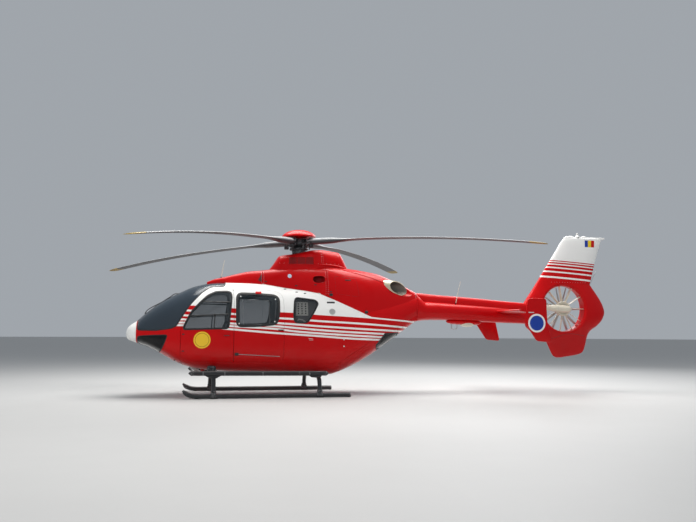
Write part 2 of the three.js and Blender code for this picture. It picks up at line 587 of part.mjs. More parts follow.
// A place in the rotor's plane: radius, angle towards the pilots' right from ahead, offset along the chord
const atAngle = (radius, angle, along, up) => onRotor(radius * Math.cos(angle) - along * Math.sin(angle),
  -radius * Math.sin(angle) - along * Math.cos(angle), up);
for (let k = 0; k < bladeCount; k++) {
  const angle = firstBladeAngle + k * 2 * Math.PI / bladeCount;
  const rings = bladeTable.map(([radius, chord, thick, ahead]) => {
    const drop = -tipDroop * (radius / rotorRadius) ** 2.27;
    return Array.from({ length: 14 }, (_, j) => {
      const turn = j * Math.PI / 7;
      const along = (0.5 - 0.5 * Math.cos(turn) - ahead) * chord;
      const taper = radius > 1100 ? 0.9 + 0.25 * Math.cos(turn) : 1;
      return atAngle(radius, angle, along, drop + thick / 2 * power(Math.sin(turn), 0.8) * taper);
    });
  });
  add(`main_blade_${k + 1}`, ringSolid(rings), 'blade');
  const lead = angle + 0.42;
  swashplate = swashplate.add(cylinder(12, atAngle(148, lead, 0, -300), atAngle(190, lead, 0, -40), 8));
}
for (let k = 0; k < bladeCount; k++) {
  const angle = firstBladeAngle + k * 2 * Math.PI / bladeCount;
  swashplate = swashplate.subtract(cylinder(115, atAngle(200, angle, 0, 0), atAngle(900, angle, 0, -4), 16));
}
add('swashplate', swashplate, 'dark');

// Tail boom, fin and shroud
const boomCurves = tableCurves(boomTable);
const boomStations = boomTable.map((row) => row[0]);
const shaftCoverCurves = tableCurves(shaftCoverTable);
const boom = ringSolid(boomStations.map((x) => {
  const [low, top, half] = boomCurves.map((curve) => curve(x));
  return Array.from({ length: 20 }, (_, j) => {
    const turn = j * Math.PI / 10;
    return [x, half * power(Math.cos(turn), 2 / boomFullness),
      (low + top) / 2 + (top - low) / 2 * power(Math.sin(turn), 2 / boomFullness)];
  });
})).add(hoodBody(shaftCoverCurves, shaftCoverTable.map((row) => row[0]), (x) => boomCurves[1](x) - 60,
  1650, shaftCoverFullness, 0));
function finBody(extra) {
  return ringSolid(finTable.map(([z, front, rear, half], i) => Array.from({ length: 20 }, (_, j) => {
    const turn = j * Math.PI / 10, share = 0.5 - 0.5 * Math.cos(turn);
    const shape = Math.abs(Math.sin(turn)) ** 0.85 * (1 - 0.18 * share);
    return [front - extra + share * (rear - front + 2 * extra),
      Math.sign(Math.sin(turn)) * (half + extra) * shape,
      z + (i === 0 ? -extra : i === finTable.length - 1 ? extra : 0)];
  })));
}
const ductPlace = new THREE.Matrix4().makeRotationX(Math.PI / 2).setPosition(ductStation, 0, ductHeight);
const ductHalf = [[ductRadius, 135], [ductRadius + 6, 165], [ductRadius + ductLip, 205],
  [ductRadius + ductLip, 400], [0, 400]];
const duct = turned([...ductHalf.map(([radius, y]) => [radius, -y]).reverse(), ...ductHalf], 32, ductPlace);
const stabiliserBody = (grow) => {
  const rings = [-1309.7, 1309.7].map((y) => Array.from({ length: 20 }, (_, j) => {
    const turn = j * Math.PI / 10, share = 0.5 - 0.5 * Math.cos(turn), upper = Math.sign(Math.sin(turn));
    const half = 32 * Math.abs(Math.sin(turn)) ** 0.8 * (1.1 - 0.4 * share);
    return [7700 - grow + share * (530 + 2 * grow), y,
      1712 - share * 30 + upper * (half + (half > 0.01 ? grow : 0))];
  }));
  return ringSolid(rings);
};
add('tail_boom', boom.subtract(finBody(seamGap)).subtract(stabiliserBody(2 * seamGap)), 'red');
add('tail_fin', finBody(0).subtract(duct).add(sidePrism(finHumpOutline, -40, 40))
  .add(sidePrism(finPlateOutline, -14, 14)), 'white');
add('fin_beacon', turned(beaconProfile, 12,
  new THREE.Matrix4().makeTranslation(beaconStation, 0, finPlateTop)), 'steel');
add('horizontal_stabiliser', stabiliserBody(0), 'white');
for (const [side, name] of sides) {
  add(`end_plate_${name}`, sidePrism(endPlateOutline, ...span(side, 1310, 1336)), 'red');
}
// The stator's hub, with the shaft fairing swelling towards its gearbox, which ends aft of the hub
const fairingPlace = new THREE.Matrix4().makeTranslation(ductStation - ductRadius + 0.5, -105, ductHeight + 24)
  .multiply(new THREE.Matrix4().makeRotationY(Math.PI / 2 + 0.06));
const onDuctAxis = (radius, y0, y1, count) => cylinder(radius, [ductStation, y0, ductHeight],
  [ductStation, y1, ductHeight], count);
let stator = onDuctAxis(165, -100, 8, 28)
  .add(turned(shaftFairingProfile, 16, fairingPlace));
for (let k = 0; k < vaneCount; k++) {
  const angle = Math.PI + (k + 0.5) * 2 * Math.PI / vaneCount;
  const vane = new THREE.BoxGeometry(ductRadius - seamGap - 120, vaneChord, vaneThick);
  vane.translate((ductRadius - seamGap + 120) / 2, 0, 0);
  vane.rotateX(vanePitch);
  vane.rotateY(angle);
  vane.translate(ductStation, -50, ductHeight);
  stator = stator.add(solid(vane));
}
add('tail_stator', stator.intersect(onDuctAxis(ductRadius - 3, -300, 300, 64)), 'cream');
let tailRotor = onDuctAxis(130, 16, 110, 28).add(onDuctAxis(45, 8 + hingeClear, 20, 20))
  .add(onDuctAxis(60, 100, 130, 20));
for (let k = 0; k < tailBladeCount; k++) {
  const blade = new THREE.BoxGeometry(ductRadius - 14 - 110, tailBladeChord, tailBladeThick);
  blade.translate((ductRadius - 14 + 110) / 2, 0, 0);
  blade.rotateX(tailBladePitch);
  blade.rotateY(k * 2 * Math.PI / tailBladeCount + (k % 2) * unevenStep);
  blade.translate(ductStation, 62, ductHeight);
  tailRotor = tailRotor.add(solid(blade));
}
add('tail_rotor', tailRotor.intersect(onDuctAxis(ductRadius - 14, -300, 300, 64)), 'grey');

// Landing gear
const skidMiddle = skidRadius - 2;      // the undersides are worn flat
const skidPath = (side) => [[1112, 160], [1180, 98], [1290, 56], [1430, skidMiddle], [2000, skidMiddle],
  [3200, skidMiddle], [4300, skidMiddle]].map(([x, z]) => [x, side * skidSpacing, z]);
const ground = box(0, 6000, -1500, 1500, -200, 0);
const skids = sides.map(([side, name]) => [name, bar(skidRadius, skidPath(side), 14, 8)]);
const skidsGrown = sides.map(([side]) => bar(skidRadius + seamGap, skidPath(side), 14, 8));
for (const [name, body] of skids) add(`skid_${name}`, body.subtract(ground), 'dark');
const stepPath = (side) => [[1207, side * 962, 472], [2500, side * 962, 464], [3879, side * 962, 456]];
for (const [name, station, height] of crossTubes) {
  let tube = bar(crossTubeRadius, crossTubePath(station, height), 24, 8);
  for (const [side] of sides) {
    const saddle = span(side, skidSpacing - 52, skidSpacing + 52);
    tube = tube.add(box(station - 60, station + 60, ...saddle, 18, 112));
  }
  for (const body of skidsGrown) tube = tube.subtract(body);
  add(`cross_tube_${name}`, tube.subtract(box(station - 100, station + 100, -1200, 1200, -100, 12)), 'dark');
}
for (const [side, name] of sides) {
  let step = bar(stepRadius, stepPath(side), 4, 8);
  for (const [, station, height] of crossTubes) {
    step = step.add(box(station - 25, station + 25, ...span(side, 860, 950), height - 5, 470));
    step = step.subtract(bar(crossTubeRadius + seamGap, crossTubePath(station, height), 24, 8));
  }
  add(`step_${name}`, step, 'dark');
}

// Cabin fittings
for (const [side, name] of sides) {
  add(`pilot_seat_${name}`, sidePrism(pilotSeatOutline, ...span(side, 120, 430)), 'fabric');
}
add('instrument_panel', sidePrism(panelOutline, -300, 300).intersect(cabinSpace), 'dark');
add('cabin_seats', sidePrism(cabinSeatOutline, -150, 560), 'fabric');
add('stretcher', box(2300, 4050, -560, -190, floorHeight + seamGap, 760)
  .add(box(2320, 4030, -540, -210, 740, 830)), 'fabric');
add('equipment_cabinet', box(3250, 3700, -620, -400, 1250, 1900)
  .add(box(3250, 3700, 300, 620, floorHeight + seamGap, 1900))
  .add(box(3400, 3500, -450, 350, 1300, 1400)).intersect(cabinSpace), 'cream');

export default group;
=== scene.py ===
import json
import math
import bmesh
import bpy
import numpy as np
from mathutils import Matrix


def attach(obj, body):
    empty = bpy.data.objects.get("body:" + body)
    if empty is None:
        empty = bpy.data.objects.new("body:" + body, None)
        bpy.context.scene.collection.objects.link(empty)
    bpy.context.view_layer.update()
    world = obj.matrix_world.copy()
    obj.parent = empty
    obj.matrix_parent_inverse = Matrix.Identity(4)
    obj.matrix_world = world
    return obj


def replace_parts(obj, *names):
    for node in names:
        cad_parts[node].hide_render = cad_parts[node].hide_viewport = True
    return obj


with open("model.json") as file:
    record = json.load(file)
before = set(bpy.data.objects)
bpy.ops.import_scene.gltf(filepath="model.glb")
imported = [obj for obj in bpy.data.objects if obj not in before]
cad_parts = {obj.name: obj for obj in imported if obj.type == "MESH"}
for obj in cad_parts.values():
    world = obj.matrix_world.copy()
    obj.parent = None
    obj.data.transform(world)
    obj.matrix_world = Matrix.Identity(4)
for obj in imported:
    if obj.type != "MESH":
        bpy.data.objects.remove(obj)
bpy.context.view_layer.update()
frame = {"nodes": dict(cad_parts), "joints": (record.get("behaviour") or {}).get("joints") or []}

# A light twin-engine helicopter parked on its skids, in a plain studio. Metres throughout.
# Shapes are worked out in stations, aft of the nose tip; originStation moves them into the row frame.
originStation = 4.8775
print("frame loaded")

# Camera and studio
camera = {"place": (-3.76463, -15.73152, 1.25457), "yaw": 0.20925, "pitch": 0.09234, "roll": 0.00424, "focal": 767.39,
    "imageWide": 696, "sensor": 36.0}
studio = {"floorRadius": 160, "world": (0.8, 0.86, 0.93), "worldStrength": 0.44,
    # name, place, aim, width, height, watts, colour
    "lights": [("overhead", (0.5, 1.5, 10.5), (0, 0, 1), 13, 7, 2300, (1.0, 0.98, 0.95)),
        ("keySide", (-9.0, -11.0, 7.5), (-0.5, 0, 1.2), 7, 5, 640, (1.0, 0.97, 0.93)),
        ("rearSide", (8.0, 9.0, 8.5), (0.5, 0, 1.5), 8, 5, 520, (0.97, 0.98, 1.0))]}


def unit(vector):
    vector = np.asarray(vector, float)
    return vector / np.linalg.norm(vector, axis=-1, keepdims=True)


def placed(name, data):
    made = bpy.data.objects.new(name, data)
    bpy.context.scene.collection.objects.link(made)
    return made


def lookMatrix(place, forward, right, up):  # columns are right, up and back
    rows = np.eye(4)
    rows[:3, 0], rows[:3, 1], rows[:3, 2], rows[:3, 3] = right, up, -np.asarray(forward), place
    return Matrix(rows.tolist())


def makeCamera():
    yaw, pitch, roll = camera["yaw"], camera["pitch"], camera["roll"]
    forward = np.array([math.sin(yaw) * math.cos(pitch), math.cos(yaw) * math.cos(pitch), math.sin(pitch)])
    level = np.array([math.cos(yaw), -math.sin(yaw), 0])
    up = np.cross(level, forward)
    right = math.cos(roll) * level + math.sin(roll) * up
    up = math.cos(roll) * up - math.sin(roll) * level
    data = bpy.data.cameras.new("camera")
    data.sensor_width = camera["sensor"]
    data.lens = camera["focal"] * camera["sensor"] / camera["imageWide"]
    data.clip_end = 400
    eye = placed("camera", data)
    eye.matrix_world = lookMatrix(camera["place"], forward, right, up)
    bpy.context.scene.camera = eye


def makeLights():
    for name, place, aim, wide, high, watts, colour in studio["lights"]:
        data = bpy.data.lights.new(name, "AREA")
        data.shape, data.size, data.size_y, data.energy, data.color = "RECTANGLE", wide, high, watts, colour
        lamp = placed(name, data)
        forward = unit(np.subtract(aim, place))
        right = unit(np.cross(forward, (0, 0, 1)))
        lamp.matrix_world = lookMatrix(place, forward, right, np.cross(right, forward))
        lamp.visible_glossy = name != "keySide"        # its outline would show in the windows
    world = bpy.data.worlds.new("studioAir")
    world.use_nodes = True
    air = world.node_tree.nodes["Background"]
    air.inputs["Color"].default_value = (*studio["world"], 1)
    air.inputs["Strength"].default_value = studio["worldStrength"]
    bpy.context.scene.world = world
    bpy.context.scene.view_settings.view_transform = "Standard"


makeCamera()
makeLights()
print("camera and lights made")


def fullTurn(count):  # angles once round
    return np.linspace(0, 2 * np.pi, count, endpoint=False)


# Curves and outlines
def steadyCurve(at, values):
    # cubic pieces through the rows; each slope is the harmonic mean of the chords beside it, so nothing overshoots
    at, values = np.asarray(at, float), np.asarray(values, float)
    chord = np.diff(values) / np.diff(at)
    slope = np.zeros(len(values))
    slope[0], slope[-1] = chord[0], chord[-1]
    total = chord[:-1] + chord[1:]
    slope[1:-1] = np.where(chord[:-1] * chord[1:] > 0, 2 * chord[:-1] * chord[1:] / np.where(total == 0, 1, total), 0)

    def curve(x):
        x = np.clip(x, at[0], at[-1])
        i = np.clip(np.searchsorted(at, x) - 1, 0, len(at) - 2)
        span = at[i + 1] - at[i]
        t = (x - at[i]) / span
        rise = t * t * (3 - 2 * t)
        return (values[i] * (1 - rise) + values[i + 1] * rise
                + span * (slope[i] * t * (1 - t) ** 2 - slope[i + 1] * t * t * (1 - t)))
    return curve


def eased(curve, start, end, reach):
    # the same curve after a moving average of the given reach, with both ends held
    count = 900
    at = np.linspace(start, end, count)
    half = max(1, int(reach / (end - start) * count))
    values = curve(at)
    padded = np.concatenate([2 * values[0] - values[half:0:-1], values, 2 * values[-1] - values[-2:-half - 2:-1]])
    window = np.hanning(2 * half + 3)[1:-1]
    smooth = np.convolve(padded, window / window.sum(), "valid")
    return lambda x: np.interp(x, at, smooth)


def tableCurves(table, reach=0.0, key=lambda x: x):
    rows = np.asarray(table, float)
    at = key(rows[:, 0])
    curves = [steadyCurve(at, rows[:, k]) for k in range(1, rows.shape[1])]
    if reach:
        curves = [eased(curve, at[0], at[-1], reach) for curve in curves]
    return lambda x: [curve(key(x)) for curve in curves]


def roundedOutline(points, radius, steps=6):
    # every corner of a closed outline becomes a parabola that starts and ends at most radius away from it
    corner = np.asarray(points, float)
    t = np.linspace(0, 1, steps)[:, None]

    def reached(neighbour):
        away = neighbour - corner
        length = np.linalg.norm(away, axis=1, keepdims=True)
        return corner + away * np.minimum(radius / length, 0.48)
    start, end = reached(np.roll(corner, 1, 0))[:, None], reached(np.roll(corner, -1, 0))[:, None]
    return ((1 - t) ** 2 * start + 2 * t * (1 - t) * corner[:, None] + t * t * end).reshape(-1, 2)


def segmentDistance(u, v, start, end):
    along = end - start
    share = np.clip(((u - start[0]) * along[0] + (v - start[1]) * along[1]) / (along @ along + 1e-12), 0, 1)
    return np.hypot(u - start[0] - share * along[0], v - start[1] - share * along[1])


def outlineDepth(outline, u, v, margin=0.12):
    # distance to the outline's nearest edge, positive inside; past the margin it is simply far outside
    outline = np.asarray(outline)
    low, high = outline.min(0) - margin, outline.max(0) + margin
    near = (u > low[0]) & (u < high[0]) & (v > low[1]) & (v < high[1])
    depth = np.full(u.shape, -margin)
    a, b = u[near], v[near]
    nearest, within = np.full(a.shape, margin), np.zeros(a.shape, bool)
    for start, end in zip(outline, np.roll(outline, -1, 0)):
        nearest = np.minimum(nearest, segmentDistance(a, b, start, end))
        if start[1] != end[1]:
            cross = (start[1] > b) != (end[1] > b)
            within ^= cross & (a < start[0] + (end[0] - start[0]) * (b - start[1]) / (end[1] - start[1]))
    depth[near] = np.where(within, nearest, -nearest)
    return depth


def lineDepth(line, u, v, halfWidth):
    # positive within halfWidth of an open line of points
    line = np.asarray(line, float)
    distance = np.full(u.shape, 9.0)
    for start, end in zip(line[:-1], line[1:]):
        distance = np.minimum(distance, segmentDistance(u, v, start, end))
    return halfWidth - distance


def smoothPath(points, count):
    # a curve through the points, each coordinate a steady cubic of the distance walked
    points = np.asarray(points, float)
    walked = np.concatenate([[0], np.cumsum(np.linalg.norm(np.diff(points, axis=0), axis=1))])
    at = np.linspace(0, walked[-1], count)
    return np.stack([steadyCurve(walked, points[:, k])(at) for k in range(points.shape[1])], -1)


# Shapes: a pair of points and a list of face index arrays
def gridShape(points, wrap=False, capStart=False, capEnd=False):
    # rows along the first direction, rings along the second; caps are fans to each end ring's centre
    rows, ring = points.shape[:2]
    index = np.arange(rows * ring).reshape(rows, ring)
    nextOne = np.roll(index, -1, 1) if wrap else index[:, 1:]
    this = index if wrap else index[:, :-1]
    quads = np.stack([this[:-1], nextOne[:-1], nextOne[1:], this[1:]], -1).reshape(-1, 4)
    verts, faces = points.reshape(-1, 3), [quads]
    for wanted, edge, turned in ((capStart, index[0], True), (capEnd, index[-1], False)):
        if wanted:
            centre = np.full(ring, len(verts))
            fan = np.stack([centre, np.roll(edge, -1), edge] if turned else [centre, edge, np.roll(edge, -1)], -1)
            verts = np.vstack([verts, verts[edge].mean(0)])
            faces.append(fan if wrap else fan[:-1])
    return verts, faces


def capped(points):
    return gridShape(points, wrap=True, capStart=True, capEnd=True)


def flipped(shape):
    return shape[0], [face[:, ::-1] for face in shape[1]]


def mirrored(shape):
    return shape[0] * (1, -1, 1), [face[:, ::-1] for face in shape[1]]


def joined(*shapes):
    verts, faces, count = [], [], 0
    for points, groups in shapes:
        verts.append(points)
        faces += [group + count for group in groups]
        count += len(points)
    return np.vstack(verts), faces


def repeated(shape, places, frames=None):
    # copies of one shape: every point times each 3x3 frame, plus each place
    points, groups = shape
    places = np.asarray(places, float)
    frames = np.broadcast_to(np.eye(3), (len(places), 3, 3)) if frames is None else np.asarray(frames)
    verts = np.einsum("nij,kj->nki", frames, points) + places[:, None]
    offset = (np.arange(len(places)) * len(points))[:, None, None]
    return verts.reshape(-1, 3), [(group[None] + offset).reshape(-1, group.shape[1]) for group in groups]


# Which corners (0 to 3) and edge crossings (4 to 7) bound the part of a cell that is kept
cellCases = {1: [(0, 4, 7)], 2: [(4, 1, 5)], 3: [(0, 1, 5, 7)], 4: [(5, 2, 6)], 5: [(0, 4, 7), (5, 2, 6)],
    6: [(4, 1, 2, 6)], 7: [(0, 1, 2, 6, 7)], 8: [(7, 6, 3)], 9: [(0, 4, 6, 3)], 10: [(4, 1, 5), (7, 6, 3)],
    11: [(0, 1, 5, 6, 3)], 12: [(7, 5, 2, 3)], 13: [(0, 4, 5, 2, 3)], 14: [(4, 1, 2, 3, 7)], 15: [(0, 1, 2, 3)]}


def clippedShape(points, level):
    # the part of a grid surface where level is positive; edges are cut where the level passes through zero
    rows, ring = level.shape
    flat, depth = points.reshape(-1, 3), level.reshape(-1)
    index = np.arange(rows * ring).reshape(rows, ring)

    def crossing(a, b):
        a, b = a.reshape(-1), b.reshape(-1)
        fall = depth[a] - depth[b]
        share = np.clip(depth[a] / np.where(fall == 0, 1, fall), 0.03, 0.97)
        return flat[a] + share[:, None] * (flat[b] - flat[a])
    verts = np.vstack([flat, crossing(index[:, :-1], index[:, 1:]), crossing(index[:-1], index[1:])])
    across = rows * ring + np.arange(rows * (ring - 1)).reshape(rows, ring - 1)
    along = rows * ring + across.size + np.arange((rows - 1) * ring).reshape(rows - 1, ring)
    local = np.stack([index[:-1, :-1], index[:-1, 1:], index[1:, 1:], index[1:, :-1],
                      across[:-1], along[:, 1:], across[1:], along[:, :-1]], -1).reshape(-1, 8)
    kept = depth[local[:, :4]] > 0
    case = kept @ np.array([1, 2, 4, 8])
    faces = [local[case == number][:, list(polygon)] for number, polygons in cellCases.items()
             for polygon in polygons]
    faces = [face for face in faces if len(face)]
    used = np.unique(np.concatenate([face.reshape(-1) for face in faces]))
    place = np.zeros(len(verts), int)
    place[used] = np.arange(len(used))
    return verts[used], [place[face] for face in faces]


def acrossFrames(path, up):
    # two directions across a path: its side, square to up, and its own upward one
    tangent = unit(np.gradient(path, axis=0))
    side = unit(np.cross(tangent, up))
    return side, np.cross(side, tangent)


def sweep(path, profile, up=(0, 0, 1), scale=None):
    # a closed profile of (side, upward) carried along a path, scaled at each point
    side, upward = acrossFrames(path, up)
    size = np.ones(len(path)) if scale is None else np.broadcast_to(scale, len(path))
    section = (profile[None, :, 0, None] * side[:, None] + profile[None, :, 1, None] * upward[:, None])
    return flipped(capped(path[:, None] + section * size[:, None, None]))


def circle(radius, sides, squash=1.0):
    turn = fullTurn(sides)
    return np.stack([radius * np.cos(turn), squash * radius * np.sin(turn)], -1)


def roundBar(points, radius, sides=16, count=None, up=(0, 0, 1)):
    path = smoothPath(points, count) if count else np.asarray(points, float)
    return sweep(path, circle(1.0, sides), up, radius)


def axisFrame(axis):
    # a right-handed frame whose third direction is the axis
    axis = unit(axis)
    first = unit(np.cross(axis, (0, 1, 0) if abs(axis[1]) < 0.9 else (1, 0, 0)))
    return np.stack([first, np.cross(axis, first), axis], -1)


def lathe(profile, place=(0, 0, 0), axis=(0, 0, 1), sides=48, closed=False):
    # a profile of (radius, height) turned about an axis; closed joins its last point to its first
    profile = np.asarray(profile, float)
    if closed:
        profile = np.vstack([profile, profile[:1]])
    turn = fullTurn(sides)
    ring = np.stack([np.cos(turn), np.sin(turn), np.zeros(sides)], -1)
    local = profile[:, None, :1] * ring[None] + profile[:, None, 1:] * np.array([0, 0, 1.0])
    return gridShape(local @ axisFrame(axis).T + place, wrap=True)


def roundedBox(low, high, radius, steps=4):
    # a sphere of the given radius carried over a box
    low, high = np.asarray(low, float), np.asarray(high, float)
    middle, half = (low + high) / 2, (high - low) / 2
    quarter = np.linspace(0, np.pi / 2, steps)
    around = np.concatenate([quarter + k * np.pi / 2 for k in range(4)])
    signX = np.repeat([1, -1, -1, 1], steps)
    signY = np.repeat([1, 1, -1, -1], steps)
    tilt = np.concatenate([quarter - np.pi / 2, quarter])
    signZ = np.repeat([-1, 1], steps)
    ball = np.stack([np.cos(tilt)[:, None] * np.cos(around), np.cos(tilt)[:, None] * np.sin(around),
                     np.broadcast_to(np.sin(tilt)[:, None], (len(tilt), len(around)))], -1)
    core = np.stack(np.broadcast_arrays(signX[None], signY[None], signZ[:, None]), -1) * (half - radius)
    points = middle + core + radius * ball
    return capped(points)


def meshOf(name, shape):
    mesh = bpy.data.meshes.new(name)
    mesh.from_pydata(shape[0].tolist(), [], [face for group in shape[1] for face in group.tolist()])
    return mesh


def makePiece(name, shape, material, body="airframe", sharp=38, closed=True, merge=0.0004):
    # puts a shape's arrays into a mesh, closes its seams and poles, and moves it into the row frame
    mesh = meshOf(name, (shape[0] - (originStation, 0, 0), shape[1]))
    work = bmesh.new()
    work.from_mesh(mesh)
    bmesh.ops.remove_doubles(work, verts=work.verts, dist=merge)
    bmesh.ops.dissolve_degenerate(work, edges=work.edges, dist=merge / 4)
    if closed:
        bmesh.ops.recalc_face_normals(work, faces=work.faces)
    work.to_mesh(mesh)
    work.free()
    mesh.polygons.foreach_set("use_smooth", np.ones(len(mesh.polygons), bool))
    mesh.set_sharp_from_angle(angle=math.radians(sharp))
    mesh.materials.append(material)
    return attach(placed(name, mesh), body)


def thicken(piece, thickness, outward=0.0):
    # a wall on the inner side of a sheet; outward is the share of it that stands on the outer side
    wall = piece.modifiers.new("wall", "SOLIDIFY")
    wall.thickness = thickness
    wall.offset = 2 * outward - 1
    return piece


# Material helpers
def addNode(tree, kind, inputs=None, **settings):
    node = tree.nodes.new("ShaderNode" + kind)
    for key, value in settings.items():
        setattr(node, key, value)
    for key, value in (inputs or {}).items():
        if isinstance(value, bpy.types.NodeSocket):
            tree.links.new(value, node.inputs[key])
        else:
            node.inputs[key].default_value = value
    return node


def maths(tree, operation, *values, clamp=False):
    node = addNode(tree, "Math", dict(enumerate(values)), operation=operation, use_clamp=clamp)
    return node.outputs[0]


def times(tree, first, second, clamp=False):
    return maths(tree, "MULTIPLY", first, second, clamp=clamp)


def plus(tree, first, second, clamp=False):
    return maths(tree, "ADD", first, second, clamp=clamp)


def minus(tree, first, second, clamp=False):
    return maths(tree, "SUBTRACT", first, second, clamp=clamp)


def distance(tree, across, up):  # the root of both squares' sum
    return maths(tree, "SQRT", plus(tree, times(tree, across, across), times(tree, up, up)))


def band(tree, value, low, high, soft):
    # 1 between low and high, falling off over the soft distance on each side
    rise = addNode(tree, "MapRange", {"Value": value, "From Min": low - soft, "From Max": low + soft}).outputs[0]
    fall = addNode(tree, "MapRange", {"Value": value, "From Min": high - soft, "From Max": high + soft}).outputs[0]
    return minus(tree, rise, fall, clamp=True)


def mixColour(tree, share, first, second, blend="MIX"):
    return addNode(tree, "Mix", {0: share, 6: first, 7: second}, data_type="RGBA", blend_type=blend).outputs[2]


def rgba(colour):
    return (*colour, 1.0)


def newGroup(name, inputs, outputs):
    tree = bpy.data.node_groups.new(name, "ShaderNodeTree")
    for label, kind, value in inputs:
        socket = tree.interface.new_socket(label, in_out="INPUT", socket_type="NodeSocket" + kind)
        if value is not None:
            socket.default_value = value
    for label, kind in outputs:
        tree.interface.new_socket(label, in_out="OUTPUT", socket_type="NodeSocket" + kind)
    return tree, tree.nodes.new("NodeGroupInput").outputs, tree.nodes.new("NodeGroupOutput").inputs


def useGroup(tree, group, inputs):
    return addNode(tree, "Group", inputs, node_tree=group).outputs


def makeGrainGroup():
    # fine and broad noise: Shade varies about 1 by Contrast, Height is the fine noise alone
    tree, given, made = newGroup("surfaceGrain", [("Vector", "Vector", None), ("Scale", "Float", 60.0),
                                                  ("Contrast", "Float", 0.1)],
                                 [("Shade", "Float"), ("Height", "Float")])
    fine = addNode(tree, "TexNoise", {"Vector": given["Vector"], "Scale": given["Scale"], "Detail": 4.0})
    broad = addNode(tree, "TexNoise", {"Vector": given["Vector"], "Scale": 1.7, "Detail": 3.0})
    mixed = plus(tree, times(tree, fine.outputs[0], 0.45),
                  times(tree, broad.outputs[0], 0.55))
    swing = times(tree, minus(tree, mixed, 0.5), given["Contrast"])
    tree.links.new(plus(tree, 1.0, times(tree, swing, 2.0)), made["Shade"])
    tree.links.new(fine.outputs[0], made["Height"])
    return tree


def makeDustGroup():
    # Mask is thick at Low and gone at High, broken up by noise, and heavier on faces that look up
    tree, given, made = newGroup("settledDust", [("Vector", "Vector", None), ("Low", "Float", 0.0),
                                                 ("High", "Float", 1.0), ("Amount", "Float", 0.3)],
                                 [("Mask", "Float")])
    height = addNode(tree, "SeparateXYZ", {0: given["Vector"]}).outputs[2]
    fade = addNode(tree, "MapRange", {"Value": height, "From Min": given["High"], "From Max": given["Low"]}).outputs[0]
    facing = addNode(tree, "SeparateXYZ", {0: addNode(tree, "NewGeometry").outputs["Normal"]}).outputs[2]
    lying = times(tree, maths(tree, "MAXIMUM", facing, 0.0), 0.5)
    noise = addNode(tree, "TexNoise", {"Vector": given["Vector"], "Scale": 7.0, "Detail": 6.0}).outputs[0]
    broken = addNode(tree, "MapRange", {"Value": noise, "From Min": 0.35, "From Max": 0.75}).outputs[0]
    total = times(tree, plus(tree, fade, lying), plus(tree, broken, 0.15))
    tree.links.new(times(tree, total, given["Amount"], clamp=True), made["Mask"])
    return tree


def makeWearGroup():
    # Mask marks convex edges, broken by noise
    tree, given, made = newGroup("edgeWear", [("Vector", "Vector", None), ("Amount", "Float", 0.5)],
                                 [("Mask", "Float")])
    pointed = addNode(tree, "NewGeometry").outputs["Pointiness"]
    edge = addNode(tree, "MapRange", {"Value": pointed, "From Min": 0.515, "From Max": 0.58}).outputs[0]
    noise = addNode(tree, "TexNoise", {"Vector": given["Vector"], "Scale": 32.0, "Detail": 5.0}).outputs[0]
    broken = addNode(tree, "MapRange", {"Value": noise, "From Min": 0.42, "From Max": 0.6}).outputs[0]
    tree.links.new(times(tree, times(tree, edge, broken), given["Amount"], clamp=True),
                   made["Mask"])
    return tree


grainGroup, dustGroup, wearGroup = makeGrainGroup(), makeDustGroup(), makeWearGroup()


def startMaterial(name):
    material = bpy.data.materials.new(name)
    material.use_nodes = True
    tree = material.node_tree
    where = addNode(tree, "TexCoord").outputs["Object"]
    return material, tree, tree.nodes["Principled BSDF"], where


def grained(tree, where, scale, contrast):
    # the grain's sockets, and its shade as a grey
    grain = useGroup(tree, grainGroup, {"Vector": where, "Scale": scale, "Contrast": contrast})
    return grain, addNode(tree, "CombineColor", {k: grain["Shade"] for k in range(3)}).outputs[0]


def relieved(tree, shader, grain, strength, size=0.001):
    relief = addNode(tree, "Bump", {"Strength": strength, "Distance": size, "Height": grain["Height"]})
    tree.links.new(relief.outputs[0], shader.inputs["Normal"])


def shaded(tree, shader, where, base, rough, scale, contrast, bump):
    # colour and roughness times the grain's shade, with its relief
    grain, shade = grained(tree, where, scale, contrast)
    tree.links.new(mixColour(tree, 1.0, base, shade, "MULTIPLY"), shader.inputs["Base Color"])
    tree.links.new(times(tree, rough, grain["Shade"]), shader.inputs["Roughness"])
    relieved(tree, shader, grain, bump)


def plainFinish(name, colour, roughness, metallic=0.0, scale=60.0, contrast=0.12, bump=0.1, bumpSize=0.001,
                wear=0.0, wearColour=(0.45, 0.46, 0.47), dust=0.0, dustHigh=1.0, dustColour=(0.42, 0.38, 0.31),
                coat=0.0, sheen=0.0):
    # one colour with grain, worn edges and dust
    material, tree, shader, where = startMaterial(name)
    grain, shade = grained(tree, where, scale, contrast)
    base = mixColour(tree, 1.0, rgba(colour), shade, "MULTIPLY")
    rough = times(tree, roughness, grain["Shade"], clamp=True)
    metal = None
    if wear:
        worn = useGroup(tree, wearGroup, {"Vector": where, "Amount": wear})["Mask"]
        base = mixColour(tree, worn, base, rgba(wearColour))
        metal = plus(tree, metallic, times(tree, worn, 0.6), clamp=True)
    if dust:
        mask = useGroup(tree, dustGroup, {"Vector": where, "Low": 0.0, "High": dustHigh, "Amount": dust})["Mask"]
        base = mixColour(tree, mask, base, rgba(dustColour))
        rough = plus(tree, rough, times(tree, mask, 0.35), clamp=True)
    tree.links.new(base, shader.inputs["Base Color"])
    tree.links.new(rough, shader.inputs["Roughness"])
    if metal is None:
        shader.inputs["Metallic"].default_value = metallic
    else:
        tree.links.new(metal, shader.inputs["Metallic"])
    shader.inputs["Coat Weight"].default_value = coat
    shader.inputs["Coat Roughness"].default_value = 0.06
    shader.inputs["Sheen Weight"].default_value = sheen
    relieved(tree, shader, grain, bump, bumpSize)
    return material


